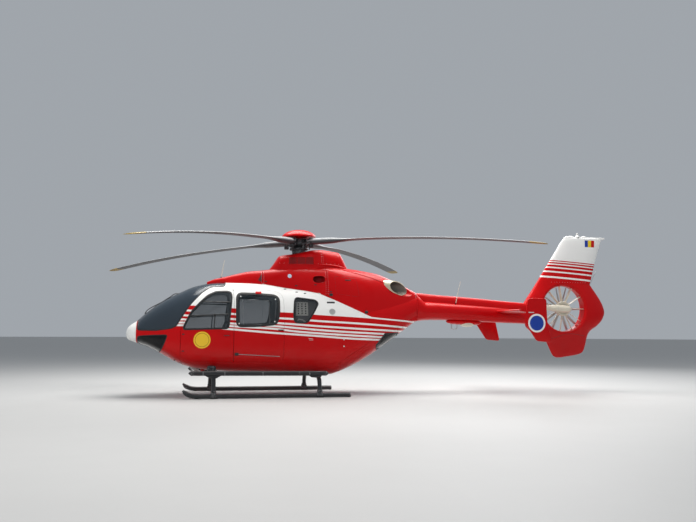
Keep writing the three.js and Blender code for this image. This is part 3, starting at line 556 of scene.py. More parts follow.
# The mast's station, the hub's height, and how far the mast leans back
mast = {"station": 3.403, "height": 3.103, "tilt": 0.021}

# Paint
livery = {"red": (0.53, 0.0009, 0.0025), "white": (0.86, 0.86, 0.84), "yellow": (0.86, 0.56, 0.04),
    "blue": (0.02, 0.06, 0.36), "keel": (0.8, 0.08, 1.165),        # last station, half width, top
    "rise": 0.0185, "start": 0.9, "end": 5.86, "wedgeTip": 4.885, "tipLine": 0.03,
    # station, then the heights of the white field's lower edge and of the five white lines
    "lines": [(1.1, 1.758, 1.66, 1.562, 1.483, 1.423, 1.372), (2.04, 1.704, 1.593, 1.494, 1.408, 1.356, 1.296),
        (2.92, 1.638, 1.519, 1.42, 1.358, 1.303, 1.225), (3.2, 1.626, 1.505, 1.403, 1.335, 1.268, 1.207),
        (3.73, 1.587, 1.467, 1.366, 1.291, 1.226, 1.172), (4.3, 1.558, 1.438, 1.333, 1.255, 1.192, 1.13),
        (4.66, 1.538, 1.418, 1.313, 1.238, 1.173, 1.113), (5.2, 1.498, 1.382, 1.288, 1.213, 1.147, 1.094),
        (5.8, 1.454, 1.338, 1.258, 1.185, 1.12, 1.078)],
    # station and height of the white field's upper edge along the cowls
    "field": [(2.3, 2.6), (2.58, 2.6), (2.645, 2.212), (2.749, 2.193), (3.059, 2.133), (3.503, 2.072), (3.756, 2.023),
        (3.964, 1.933), (4.297, 1.785), (4.6, 1.652), (4.885, 1.528)], "disc": (1.452, 1.092, 0.16),
    "badge": (3.17, 2.375, 0.04), "plateDisc": (8.07, 1.45, 0.187), "plateFace": 1.325}
finLines = {"slope": -0.07, "at": 9.5, "field": 2.842,
    "lines": [(2.808, 0.011), (2.751, 0.0135), (2.674, 0.015), (2.578, 0.0165), (2.456, 0.019)],
    # plain upright bands: first station, their width, height and half height, colours
    "bands": (9.885, 0.08, 3.256, 0.078, [(0.02, 0.05, 0.35), (0.85, 0.6, 0.03), (0.55, 0.01, 0.01)])}


def heightCurve(tree, station, rows, lowHigh=(0.0, 3.0), straight=False):
    # a height that follows the rows of (station, height), as a socket; straight joins them with straight lines
    start, end = rows[0][0], rows[-1][0]
    low, high = lowHigh
    share = addNode(tree, "MapRange", {"Value": station, "From Min": start, "From Max": end}).outputs[0]
    node = addNode(tree, "FloatCurve", {"Value": share})
    points = node.mapping.curves[0].points
    places = [((x - start) / (end - start), (z - low) / (high - low)) for x, z in rows]
    points[0].location, points[-1].location = places[0], places[-1]
    for place in places[1:-1]:
        points.new(*place)
    for point in points:
        point.handle_type = "VECTOR" if straight else "AUTO"
    node.mapping.update()
    return maths(tree, "MULTIPLY_ADD", node.outputs[0], high - low, low)


def makeLiveryGroup():
    # White is 1 on the white field and its lines; Disc and Ring mark the round plate on each front door
    tree, given, made = newGroup("fuselageLivery", [("Vector", "Vector", None)],
                                 [("White", "Float"), ("Disc", "Float"), ("Ring", "Float"), ("Badge", "Float")])
    split = addNode(tree, "SeparateXYZ", {0: given["Vector"]})
    station = plus(tree, split.outputs[0], originStation)
    height = split.outputs[2]
    rows = livery["lines"]
    white = None
    for k in range(6):
        line = heightCurve(tree, station, [(row[0], row[k + 1]) for row in rows])
        above = minus(tree, height, line)
        low = 0 if k == 0 else -livery["rise"]         # the field's own edge goes on as the first line
        stripe = band(tree, above, low, low + 2 * livery["rise"] if k else livery["tipLine"], 0.0012)
        start = livery["wedgeTip"] - 0.25 if k == 0 else livery["start"]
        stripe = times(tree, stripe, band(tree, station, start, livery["end"], 0.002))
        white = stripe if white is None else maths(tree, "MAXIMUM", white, stripe)
        if k == 0:
            top = heightCurve(tree, station, livery["field"], straight=True)
            under = minus(tree, top, height)
            field = times(tree, band(tree, above, 0, 9, 0.0012), band(tree, under, 0, 9, 0.0012))
            field = times(tree, field, band(tree, station, -1, livery["wedgeTip"], 0.002))
            white = maths(tree, "MAXIMUM", white, field)
    last, half, top = livery["keel"]
    keel = times(tree, band(tree, station, -1, last, 0.002), band(tree, split.outputs[1], -half, half, 0.001))
    white = maths(tree, "MAXIMUM", white, times(tree, keel, band(tree, height, -1, top, 0.001)))
    tree.links.new(white, made["White"])
    for label, (x, z, radius), inner in (("Disc", livery["disc"], 0.0), ("Ring", livery["disc"], 0.78),
                                         ("Badge", livery["badge"], 0.0)):
        across = minus(tree, station, x)
        up = minus(tree, height, z)
        away = distance(tree, across, up)
        low, high = (inner * radius, inner * radius + 0.007) if inner else (-1, radius)
        tree.links.new(band(tree, away, low, high, 0.001), made[label])
    return tree


def glossPaint(tree, shader, where, base):
    # lacquer over colour: slight shade changes, orange peel, and thin dust low down and on top
    grain, shade = grained(tree, where, 220.0, 0.07)
    base = mixColour(tree, 1.0, base, shade, "MULTIPLY")
    dust = useGroup(tree, dustGroup, {"Vector": where, "Low": 0.35, "High": 1.3, "Amount": 0.1})["Mask"]
    base = mixColour(tree, dust, base, rgba((0.24, 0.13, 0.11)))
    tree.links.new(base, shader.inputs["Base Color"])
    rough = plus(tree, 0.32, times(tree, dust, 0.5))
    tree.links.new(times(tree, rough, grain["Shade"], clamp=True), shader.inputs["Roughness"])
    shader.inputs["Coat Weight"].default_value = 0.12
    shader.inputs["Coat Roughness"].default_value = 0.05
    shader.inputs["Specular IOR Level"].default_value = 0.14
    relieved(tree, shader, grain, 0.05, 0.0006)


def fuselagePaint(name, withDisc=False, withBadge=False):
    material, tree, shader, where = startMaterial(name)
    masks = useGroup(tree, liveryGroup, {"Vector": where})
    base = mixColour(tree, masks["White"], rgba(livery["red"]), rgba(livery["white"]))
    if withDisc:
        base = mixColour(tree, masks["Disc"], base, rgba(livery["yellow"]))
        base = mixColour(tree, masks["Ring"], base, rgba((0.25, 0.05, 0.01)))
    if withBadge:
        base = mixColour(tree, masks["Badge"], base, rgba((0.55, 0.66, 0.8)))
    glossPaint(tree, shader, where, base)
    return material


def singlePaint(name, colour):
    material, tree, shader, where = startMaterial(name)
    rgb = addNode(tree, "RGB")
    rgb.outputs[0].default_value = rgba(colour)
    glossPaint(tree, shader, where, rgb.outputs[0])
    return material


def finPaint(name):
    material, tree, shader, where = startMaterial(name)
    split = addNode(tree, "SeparateXYZ", {0: where})
    station = plus(tree, split.outputs[0], originStation)
    tilted = plus(tree, split.outputs[2],
                   times(tree, minus(tree, station, finLines["at"]), -finLines["slope"]))
    white = band(tree, tilted, finLines["field"], 9, 0.0012)
    for middle, half in finLines["lines"]:
        white = maths(tree, "MAXIMUM", white, band(tree, tilted, middle - half, middle + half, 0.0012))
    base = mixColour(tree, white, rgba(livery["red"]), rgba(livery["white"]))
    first, wide, middle, half, colours = finLines["bands"]
    lean = minus(tree, station, times(tree, minus(tree, split.outputs[2], middle), 0.05))
    upright = band(tree, split.outputs[2], middle - half, middle + half, 0.001)
    for k, colour in enumerate(colours):
        here = times(tree, upright, band(tree, lean, first + k * wide, first + (k + 1) * wide, 0.001))
        base = mixColour(tree, here, base, rgba(colour))
    glossPaint(tree, shader, where, base)
    return material


def endPlatePaint(name):
    # red, with a plain ringed disc on the face away from the hull
    material, tree, shader, where = startMaterial(name)
    split = addNode(tree, "SeparateXYZ", {0: where})
    x, z, radius = livery["plateDisc"]
    across = minus(tree, split.outputs[0], x - originStation)
    up = minus(tree, split.outputs[2], z)
    away = distance(tree, across, up)
    outer = band(tree, maths(tree, "ABSOLUTE", split.outputs[1]), livery["plateFace"], 9, 0.001)
    base = rgba(livery["red"])
    for share, colour in ((1.0, "white"), (0.8, "blue")):
        disc = times(tree, outer, band(tree, away, -1, share * radius, 0.001))
        base = mixColour(tree, disc, base, rgba(livery[colour]))
    glossPaint(tree, shader, where, base)
    return material


def bladeFinish(name):
    # painted shade: each colour has a pale copy on faces that look up and a dark copy on faces that look down; a dark
    # root and a yellow band near the tip, by distance from the mast
    material, tree, shader, where = startMaterial(name)
    split = addNode(tree, "SeparateXYZ", {0: where})
    x = minus(tree, split.outputs[0], mast["station"] - originStation)
    out = distance(tree, x, split.outputs[1])
    facing = addNode(tree, "SeparateXYZ", {0: addNode(tree, "NewGeometry").outputs["Normal"]}).outputs[2]
    # painted shade: faces that look down get the darker copy of each colour, faces that look up the paler one
    upper = addNode(tree, "MapRange", {"Value": facing, "From Min": -0.1, "From Max": 0.3}).outputs[0]
    skin = mixColour(tree, upper, rgba((0.075, 0.075, 0.08)), rgba((0.42, 0.425, 0.43)))
    cuff = mixColour(tree, upper, rgba((0.045, 0.046, 0.05)), rgba((0.26, 0.27, 0.28)))
    tip = mixColour(tree, upper, rgba((0.26, 0.17, 0.03)), rgba((0.55, 0.38, 0.05)))
    base = mixColour(tree, band(tree, out, -1, 1.12, 0.1), skin, cuff)
    base = mixColour(tree, band(tree, out, -1, 0.24, 0.01), base, rgba((0.02, 0.02, 0.022)))
    base = mixColour(tree, band(tree, out, 4.82, 9, 0.002), base, tip)
    shaded(tree, shader, where, base, 0.46, 60.0, 0.25, 0.15)
    return material


def exhaustFinish(name):
    # cream outside, sooty inside
    material, tree, shader, where = startMaterial(name)
    split = addNode(tree, "SeparateXYZ", {0: where})
    soot = addNode(tree, "MapRange", {"Value": split.outputs[0], "From Min": 5.15 - originStation,
                                      "From Max": 5.66 - originStation}).outputs[0]
    base = mixColour(tree, times(tree, soot, 0.3), rgba((0.62, 0.56, 0.42)), rgba((0.3, 0.2, 0.11)))
    shaded(tree, shader, where, base, 0.42, 40.0, 0.4, 0.2)
    shader.inputs["Metallic"].default_value = 0.35
    return material


def tintedGlass(name, tint, clear, gloss=0.75, coat=1.0, rough=0.03):
    # a dark tint that is clearer seen straight on, and a full mirror at a glancing angle
    material, tree, shader, where = startMaterial(name)
    grain = useGroup(tree, grainGroup, {"Vector": where, "Scale": 3.0, "Contrast": 0.12})
    glance = addNode(tree, "LayerWeight", {"Blend": 0.42}).outputs["Facing"]
    share = addNode(tree, "MapRange", {"Value": glance, "To Min": clear, "To Max": 0.97}).outputs[0]
    tree.links.new(times(tree, share, grain["Shade"], clamp=True), shader.inputs["Alpha"])
    shader.inputs["Base Color"].default_value = rgba(tint)
    shader.inputs["Roughness"].default_value = rough
    shader.inputs["Specular IOR Level"].default_value = gloss
    shader.inputs["Coat Weight"].default_value = coat
    shader.inputs["Coat Roughness"].default_value = 0.02
    return material


liveryGroup = makeLiveryGroup()
finish = {
    "livery": fuselagePaint("liveryPaint", withBadge=True), "doorLivery": fuselagePaint("doorPaint", withDisc=True),
    "red": singlePaint("redPaint", livery["red"]), "white": singlePaint("whitePaint", livery["white"]),
    "fin": finPaint("finPaint"),
    "glass": tintedGlass("canopyGlass", (0.03, 0.045, 0.062), 0.6, 0.4, 0.08, 0.2),
    "darkGlass": tintedGlass("sideGlass", (0.025, 0.035, 0.042), 0.3),
    "clearGlass": tintedGlass("rearSideGlass", (0.03, 0.035, 0.04), 0.12),
    "rearGlass": tintedGlass("rearDoorGlass", (0.008, 0.009, 0.01), 0.8, 0.22, 0.1),
    "rubber": plainFinish("sealRubber", (0.015, 0.015, 0.016), 0.55, scale=120, bump=0.2),
    "lining": plainFinish("cabinLining", (0.2, 0.205, 0.21), 0.7, scale=260, contrast=0.1, bump=0.25),
    "floor": plainFinish("floorMat", (0.1, 0.105, 0.11), 0.75, scale=300, contrast=0.2, bump=0.5, dust=0.4,
                         dustHigh=0.9),
    "seat": plainFinish("seatCloth", (0.1, 0.125, 0.16), 0.9, scale=420, contrast=0.3, bump=0.6, bumpSize=0.0015,
                        sheen=0.4),
    "vinyl": plainFinish("stretcherVinyl", (0.09, 0.16, 0.34), 0.45, scale=180, contrast=0.1, bump=0.3),
    "webbing": plainFinish("beltWebbing", (0.02, 0.02, 0.025), 0.8, scale=900, contrast=0.3, bump=0.6),
    "panel": plainFinish("panelBlack", (0.02, 0.021, 0.023), 0.65, scale=350, contrast=0.2, bump=0.4),
    "cabinet": plainFinish("cabinetCream", (0.62, 0.62, 0.58), 0.55, scale=200, contrast=0.08, bump=0.2),
    "cabinetGrey": plainFinish("cabinetGrey", (0.16, 0.165, 0.17), 0.6, scale=200, contrast=0.1, bump=0.25),
    "mesh": plainFinish("louvreMesh", (0.13, 0.028, 0.03), 0.7, metallic=0.3, scale=900, contrast=0.5, bump=0.8),
    "lens": plainFinish("lampLens", (0.55, 0.58, 0.6), 0.08, scale=120, contrast=0.15, bump=0.3, coat=1.0),
    "screen": plainFinish("screenGlass", (0.006, 0.012, 0.022), 0.12, scale=400, contrast=0.05, bump=0.02, coat=0.6),
    "gear": plainFinish("gearPaint", (0.01, 0.011, 0.014), 0.36, scale=90, contrast=0.25, bump=0.2, wear=0.4,
                        dust=0.12, dustHigh=0.45, dustColour=(0.1, 0.09, 0.08), coat=0.1),
    "grip": plainFinish("gripTape", (0.05, 0.05, 0.052), 0.9, scale=700, contrast=0.4, bump=0.9, bumpSize=0.002,
                        dust=0.2, dustHigh=0.6, dustColour=(0.16, 0.14, 0.12)),
    "steel": plainFinish("linkSteel", (0.42, 0.43, 0.44), 0.35, metallic=0.9, scale=140, contrast=0.2, bump=0.15),
    "hub": plainFinish("hubTitanium", (0.028, 0.028, 0.032), 0.42, metallic=0.4, scale=120, contrast=0.3, bump=0.2,
                       wear=0.35),
    "casting": plainFinish("gearboxCasting", (0.25, 0.26, 0.25), 0.55, metallic=0.5, scale=90, contrast=0.25, bump=0.4),
    "cream": plainFinish("creamPaint", (0.7, 0.66, 0.54), 0.4, scale=120, contrast=0.12, bump=0.15, wear=0.4,
                         dust=0.25, dustHigh=2.5, coat=0.25),
    "alloy": plainFinish("fanAlloy", (0.5, 0.5, 0.49), 0.38, metallic=0.6, scale=150, contrast=0.2, bump=0.15,
                         wear=0.5),
    "endPlate": endPlatePaint("endPlatePaint"), "blade": bladeFinish("bladeComposite"),
    "exhaust": exhaustFinish("exhaustSteel"),
    "black": plainFinish("blackPlastic", (0.02, 0.02, 0.02), 0.45, scale=150, bump=0.2),
    # a darker copy of the red paint: painted shade inside the intake bowls
    "intake": plainFinish("intakePaintedShade", (0.22, 0.001, 0.003), 0.6, scale=90, contrast=0.3, bump=0.2),
    "pipe": plainFinish("pipeInside", (0.17, 0.145, 0.12), 0.55, metallic=0.4, scale=50, contrast=0.5, bump=0.3),
    "soot": plainFinish("sootySteel", (0.035, 0.028, 0.022), 0.75, metallic=0.2, scale=60, contrast=0.5, bump=0.4),
    "lampWhite": plainFinish("lampWhite", (0.62, 0.62, 0.6), 0.18, scale=200, contrast=0.06, bump=0.05, coat=0.8),
}
print("materials made")

# Hull: station, underside, top, half width, height of the widest point, lower and upper fullness
hull = {"length": 5.894, "wall": 0.038, "doorWall": 0.032, "glass": 0.006, "seam": 0.004, "doorGap": 0.006,
    "table": [(0.0, 1.205, 1.205, 0.0, 1.205, 2.2, 2.2), (0.03, 1.11, 1.317, 0.17, 1.2, 2.2, 2.2),
        (0.1, 1.068, 1.388, 0.29, 1.19, 2.2, 2.2), (0.21, 1.028, 1.46, 0.4, 1.175, 2.3, 2.2),
        (0.4, 0.962, 1.63, 0.51, 1.16, 2.4, 2.2), (0.7, 0.81, 1.85, 0.625, 1.13, 2.5, 2.2),
        (1.0, 0.64, 2.01, 0.7, 1.1, 2.7, 2.3), (1.35, 0.53, 2.16, 0.755, 1.08, 2.9, 2.4),
        (1.8, 0.48, 2.235, 0.78, 1.06, 3.0, 2.5), (2.6, 0.45, 2.24, 0.78, 1.06, 3.0, 2.5),
        (4.0, 0.384, 2.202, 0.772, 1.06, 3.0, 2.5), (4.11, 0.412, 2.2, 0.769, 1.062, 3.0, 2.5),
        (4.6, 0.62, 2.15, 0.7, 1.15, 2.8, 2.4), (5.2, 0.99, 2.12, 0.52, 1.45, 2.5, 2.3),
        (5.9, 1.48, 2.095, 0.29, 1.79, 2.2, 2.2)]}
hullAt = tableCurves(hull["table"], 0.05, np.sqrt)


def arcReach(turn, full):  # how far a rounded square of the given fullness reaches at each angle
    return (np.abs(np.cos(turn)) ** full + np.abs(np.sin(turn)) ** full) ** (-1 / full)


def hullPoint(x, turn, inset=0.0):
    # y = half cos, z = widest + rise sin, both times the reach of a superellipse at that angle
    low, top, half, wide, lowFull, topFull = hullAt(np.maximum(x, 0))
    upper = np.sin(turn) > 0
    reach = arcReach(turn, np.where(upper, topFull, lowFull))
    rise = np.maximum(np.where(upper, top - wide, wide - low) - inset, 0)
    return np.stack([x + 0 * turn, np.maximum(half - inset, 0) * np.cos(turn) * reach,
                     wide + rise * np.sin(turn) * reach], -1)


def outsideHull(points):  # about the distance outside the hull, negative inside
    low, top, half, wide, lowFull, topFull = hullAt(np.clip(points[..., 0], 0.01, hull["length"]))
    upper = points[..., 2] > wide
    full = np.where(upper, topFull, lowFull)
    rise = np.where(upper, top - wide, wide - low)
    ratio = np.abs(points[..., 1] / half) ** full + np.abs((points[..., 2] - wide) / rise) ** full
    return (ratio ** (1 / full) - 1) * np.minimum(half, rise)


def hullSide(x, z):  # half width of the hull at a station and height
    low, top, half, wide, lowFull, topFull = hullAt(x)
    share = np.where(z > wide, (z - wide) / (top - wide), (wide - z) / (wide - low))
    full = np.where(z > wide, topFull, lowFull)
    return half * (1 - np.clip(share, 0, 1) ** full) ** (1 / full)


# Side-view outlines: station and height
outlines = {"windscreen": [(0.235, 1.275), (0.584, 1.269), (0.869, 1.309), (0.944, 1.348), (0.963, 1.357),
        (1.054, 1.514), (1.21, 1.756), (1.276, 1.835), (1.444, 2.016), (1.617, 2.128), (1.877, 2.141), (1.902, 2.214),
        (1.902, 2.4), (0.235, 2.4)],
    "chin": [(0.24, 1.16), (0.49, 1.176), (0.805, 1.187), (0.743, 1.018), (0.685, 0.896), (0.6, 0.8), (0.24, 0.8)],
    "frontDoor": [(1.054, 0.78), (1.054, 1.29), (1.075, 1.375), (1.2, 1.655), (1.39, 1.874), (1.535, 1.998),
        (1.705, 2.076), (1.985, 2.082), (2.075, 2.075), (2.075, 0.66), (1.2, 0.66), (1.09, 0.71)],
    "frontWindow": [(1.095, 1.292), (1.118, 1.377), (1.246, 1.635), (1.428, 1.836), (1.563, 1.961), (1.718, 2.035),
        (1.935, 2.041), (1.99, 2.02), (2.012, 1.96), (2.003, 1.842), (1.958, 1.408), (1.942, 1.33), (1.9, 1.315),
        (1.537, 1.305)],
    "slidingDoor": [(2.02, 0.66), (2.02, 2.082), (2.4, 2.082), (2.85, 2.058), (2.96, 2.012), (3.02, 1.9),
        (3.02, 0.75), (2.95, 0.66)],
    "slidingWindow": [(2.112, 1.94), (2.162, 2.002), (2.474, 1.996), (2.85, 1.968), (2.93, 1.905), (2.924, 1.588),
        (2.88, 1.43), (2.83, 1.4), (2.501, 1.366), (2.15, 1.36), (2.108, 1.42)],
    "rearWindow": [(3.238, 1.883), (3.28, 1.936), (3.662, 1.889), (3.722, 1.825), (3.635, 1.658), (3.5, 1.45),
        (3.45, 1.428), (3.26, 1.428), (3.222, 1.47), (3.21, 1.591)],
    "rearDoorWindow": [(5.12, 1.228), (5.6, 1.24), (5.4, 1.08), (5.18, 0.93), (4.96, 0.905), (4.93, 0.99),
        (5.027, 1.108)]}
cornerRadii = {"windscreen": 0.05, "chin": 0.05, "frontDoor": 0.06, "frontWindow": 0.05, "slidingDoor": 0.1,
    "slidingWindow": 0.07, "rearWindow": 0.05, "rearDoorWindow": 0.03}
smoothOutlines = {name: roundedOutline(points, cornerRadii[name]) for name, points in outlines.items()}
frontHinge = {"station": 1.048, "side": 0.714, "reach": 1.003}
jointNamed = {joint["name"]: joint for joint in frame["joints"]}


def depthOf(name):
    return lambda p: outlineDepth(smoothOutlines[name], p[..., 0], p[..., 2])


def hingeAway(p):  # distance from the front door's hinge line
    return np.hypot(p[..., 0] - frontHinge["station"], np.abs(p[..., 1]) - frontHinge["side"])


def windscreenDepth(p):
    return np.minimum(depthOf("windscreen")(p), np.abs(p[..., 1]) - 0.022)


def chinDepth(p):
    return np.minimum(depthOf("chin")(p), np.abs(p[..., 1]) - 0.07)


def rearPaneDepth(p):
    return np.minimum(depthOf("rearDoorWindow")(p), np.abs(p[..., 1]) - 0.12)


def rearDoorDepth(p, gap=0.0):
    # inside the clamshell door's straight edges: along its hinge, down from it, and short of the middle
    joint = jointNamed["rear_door_left_swing"]
    along = -np.array(joint["axis"])
    middle = np.array(joint["pos_m"]) + (originStation, 0, 0)
    down = np.array([0.53, -0.12, -0.85])
    down = unit(down - (down @ along) * along)
    away = np.stack([p[..., 0], -np.abs(p[..., 1]), p[..., 2]], -1)
    s, d = (away - middle) @ along + 0.8317, (away - middle) @ down
    depth = np.minimum(np.minimum(s - 0.07, 1.535 - s), d - hull["doorGap"])
    return np.minimum(depth + gap, np.abs(p[..., 1]) - hull["doorGap"] / 2 + (9 if gap else 0))


def hullSheet(level, stations=(0.0, 5.9), turns=(0.5 * np.pi, 1.5 * np.pi), spacing=0.012, inset=0.0, ease=1.0):
    # the hull surface, or one inset from it, where the level measured on the outside is positive
    count = int((stations[1] - stations[0]) / spacing) + 2
    x = stations[0] + (stations[1] - stations[0]) * np.linspace(0, 1, count) ** ease
    ring = int(abs(turns[1] - turns[0]) / (2 * np.pi) * 5.2 / spacing) + 2
    grid = np.meshgrid(x, np.linspace(*turns, ring), indexing="ij")
    return clippedShape(hullPoint(*grid, inset), level(hullPoint(*grid)))


def frameLevel(p):
    # the fixed shell: everything but the openings
    openings = [windscreenDepth(p) + hull["seam"] / 2, chinDepth(p) + hull["seam"] / 2,
                depthOf("frontDoor")(p) + hull["doorGap"], depthOf("slidingDoor")(p) + hull["seam"],
                depthOf("rearWindow")(p), rearDoorDepth(p, hull["doorGap"])]
    solid = -np.max(openings, axis=0)
    return np.minimum(np.minimum(solid, p[..., 0] - 0.207), hull["length"] - p[..., 0])


def frontDoorDepth(p):
    return np.minimum(depthOf("frontDoor")(p), frontHinge["reach"] - hingeAway(p))


def slidingDoorDepth(p):
    return np.minimum(depthOf("slidingDoor")(p), hingeAway(p) - frontHinge["reach"] - hull["doorGap"] - 0.001)


def painted(name, shape, body, paint, wall, replaced=(), inner="lining"):
    # a painted panel with a lined inner face
    piece = thicken(makePiece(name, shape, finish[paint], body, closed=False), wall)
    piece.data.materials.append(finish[inner])
    piece.modifiers["wall"].material_offset = 1
    piece.modifiers["wall"].material_offset_rim = 0
    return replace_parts(piece, *replaced) if replaced else piece


def glazed(name, shape, body, glass, replaced):
    piece = thicken(makePiece(name, shape, finish[glass], body, closed=False), hull["glass"])
    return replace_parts(piece, replaced)


def sealed(name, level, body, stations, wide=0.012, side=1, proud=0.003, deep=0.01):
    # a strip either side of where the level is zero
    shape = hullSheet(lambda p: wide - np.abs(level(p)), stations)
    return thicken(makePiece(name, sided(shape, side), finish["rubber"], body, closed=False), deep, proud / deep)


def sided(shape, sign):
    return shape if sign < 0 else mirrored(shape)


def portOrStarboard(shape):
    return (("left", -1, shape), ("right", 1, mirrored(shape)))


def added(name, shape, material, node="", body="airframe", closed=True):
    # a piece on its body, in place of the node it stands for
    piece = makePiece(name, shape, finish[material], body, closed=closed)
    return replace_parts(piece, node) if node else piece


def bothSides(name, shape, material, node="", body="airframe", closed=True):
    # the port piece and its mirror image, each on its own side's door where the body is a door
    return [added(f"{name}_{side}", sheet, material, node and f"{node}_{side}",
                  body if body == "airframe" else f"{body}_{side}", closed)
            for side, sign, sheet in portOrStarboard(shape)]


def makeHull():
    shell = hullSheet(frameLevel, (0.16, 5.9), (0, 2 * np.pi), 0.02, ease=1.15)
    painted("cabinShell", shell, "airframe", "livery", hull["wall"], ["cabin_frame"])
    nose = hullSheet(lambda p: 0.2035 - p[..., 0], (0.0, 0.24), (0, 2 * np.pi), 0.01, ease=2.0)
    painted("noseCap", nose, "airframe", "white", 0.03, ["nose_cap"])


def makeGlazing():
    for name, level, stations, node, glass in (
            ("windscreenPane", windscreenDepth, (0.2, 1.95), "windscreen", "glass"),
            ("chinWindow", chinDepth, (0.2, 0.85), "chin_window", "rearGlass"),
            ("rearSideGlass", depthOf("rearWindow"), (3.15, 3.8), "rear_side_glass", "clearGlass")):
        shape = hullSheet(level, stations, inset=0.002)
        for side, sign, sheet in portOrStarboard(shape):
            glazed(f"{name}_{side}", sheet, "airframe", glass, f"{node}_{side}")
            sealed(f"{name}Seal_{side}", level, "airframe", stations, 0.009, side=sign)


def makeFrontDoors():
    door = hullSheet(lambda p: np.minimum(frontDoorDepth(p), -depthOf("frontWindow")(p)), (1.0, 2.1))
    pane = hullSheet(depthOf("frontWindow"), (1.05, 2.05), inset=0.003)
    bars = [[(1.3, 1.838), (2.03, 1.822)], [(1.2, 1.553), (1.99, 1.592)], [(1.672, 1.29), (1.69, 1.59)]]

    def barLevel(p):
        lines = [lineDepth(bar, p[..., 0], p[..., 2], 0.01) for bar in bars]
        return np.minimum(np.max(lines, axis=0), depthOf("frontWindow")(p))
    for side, sign, sheet in portOrStarboard(door):
        body = f"front_door_{side}"
        painted(f"frontDoor_{side}", sheet, body, "doorLivery", hull["doorWall"], [body])
        glazed(f"frontDoorGlass_{side}", sided(pane, sign), body, "darkGlass", f"front_door_glass_{side}")
        sealed(f"frontWindowSeal_{side}", depthOf("frontWindow"), body, (1.05, 2.1), 0.016, side=sign)
        grid = hullSheet(barLevel, (1.05, 2.1), inset=0.002)
        bar = makePiece(f"frontWindowBars_{side}", sided(grid, sign), finish["black"], body, closed=False)
        thicken(bar, 0.018, 0.1)


def makeSlidingDoors():
    door = hullSheet(lambda p: np.minimum(slidingDoorDepth(p), -depthOf("slidingWindow")(p)), (1.9, 3.1))
    pane = hullSheet(depthOf("slidingWindow"), (2.05, 3.0), inset=0.003)
    for side, sign, sheet in portOrStarboard(door):
        painted(f"slidingDoor_{side}", sheet, "airframe", "livery", hull["doorWall"], [f"sliding_door_{side}"])
        glazed(f"slidingDoorGlass_{side}", sided(pane, sign), "airframe", "darkGlass", f"sliding_door_glass_{side}")
        sealed(f"slidingWindowSeal_{side}", depthOf("slidingWindow"), "airframe", (2.05, 3.0), 0.022, side=sign)


def makeRearDoors():
    door = hullSheet(lambda p: np.minimum(rearDoorDepth(p), -rearPaneDepth(p)), (3.9, 5.9))
    pane = hullSheet(lambda p: np.minimum(rearPaneDepth(p), rearDoorDepth(p)), (4.8, 5.7), inset=0.003)
    for side, sign, sheet in portOrStarboard(door):
        body = f"rear_door_{side}"
        painted(f"rearDoor_{side}", sheet, body, "livery", hull["doorWall"], [body])
        glazed(f"rearDoorGlass_{side}", sided(pane, sign), body, "rearGlass", f"rear_door_glass_{side}")
        sealed(f"rearWindowSeal_{side}", lambda p: np.minimum(rearPaneDepth(p), rearDoorDepth(p) + 0.012), body,
               (4.8, 5.7), 0.012, side=sign)


makeHull()
makeGlazing()
makeFrontDoors()
makeSlidingDoors()
makeRearDoors()
print("hull, glass and doors made")


# Cowls: station, top, half width
cowl = {"wall": 0.022, "foot": 1.5, "full": 3.2, "ends": (1.54, 5.89), "seams": (2.64, 3.91), "seam": 0.0035,
    "table": [(1.54, 2.248, 0.04), (1.716, 2.315, 0.09), (1.894, 2.355, 0.13), (2.073, 2.404, 0.16),
        (2.374, 2.472, 0.21), (2.673, 2.506, 0.29), (3.059, 2.565, 0.41), (3.503, 2.6, 0.48), (3.756, 2.602, 0.52),
        (3.964, 2.6, 0.58), (4.297, 2.575, 0.632), (4.572, 2.545, 0.635), (4.808, 2.508, 0.6), (5.008, 2.474, 0.54),
        (5.242, 2.394, 0.47), (5.399, 2.32, 0.42), (5.655, 2.211, 0.335), (5.89, 2.098, 0.255)],
    "base": [(1.54, 2.1), (2.4, 2.08), (3.059, 2.0), (3.964, 1.86), (4.572, 1.7), (5.242, 1.75), (5.89, 1.79)],
    "intake": (3.754, 2.312, 0.128, 0.077)}        # middle and half sizes

mastFairing = {"wall": 0.018, "foot": 2.2, "full": 3.4, "hole": 0.15, "clear": 0.02,
    "table": [(2.8, 2.53, 0.09), (2.9, 2.665, 0.215), (2.994, 2.804, 0.27), (3.25, 2.85, 0.31), (3.53, 2.912, 0.33),
        (3.7, 2.944, 0.33), (3.844, 2.95, 0.328), (4.1, 2.92, 0.31), (4.233, 2.896, 0.28), (4.33, 2.74, 0.24),
        (4.425, 2.54, 0.2)], "base": [(2.8, 2.35), (4.425, 2.35)]}
# Exhaust pipe: its axis's ends, the middle of its mouth and the way that it faces, for the port one
exhaust = {"start": (4.95, -0.285, 2.235), "end": (5.64, -0.372, 2.135), "mouth": (5.451, -0.35, 2.158),
    "facing": (0.5, -0.855, 0.13), "outer": 0.138, "wall": 0.016, "clear": 0.003, "rim": 0.011, "depth": 0.1}
mastAxis = np.array([-math.sin(mast["tilt"]), 0, math.cos(mast["tilt"])])
hubPlace = np.array([mast["station"], 0, mast["height"]])
rotorTurn = np.array([[math.cos(mast["tilt"]), 0, -math.sin(mast["tilt"])], [0, 1, 0],
                      [math.sin(mast["tilt"]), 0, math.cos(mast["tilt"])]])
for hood in (cowl, mastFairing):
    hood["at"] = tableCurves(hood["table"], 0.06)
    base = np.array(hood["base"])
    hood["low"] = eased(steadyCurve(*base.T), base[0, 0], base[-1, 0], 0.2)


def hoodPoint(hood, x, share):
    # straight legs from the foot to the base, 12% of the way round each, and a superellipse arch between them
    top, half = hood["at"](x)
    base = hood["low"](x)
    turn = np.clip((share - 0.12) / 0.76, 0, 1) * np.pi
    reach = arcReach(turn, hood["full"])
    leg = np.maximum(0.12 - share, share - 0.88).clip(0) / 0.12
    return np.stack([x, half * np.cos(turn) * reach,
                     base + (top - base) * np.sin(turn) * reach - leg * (base - hood["foot"])], -1)


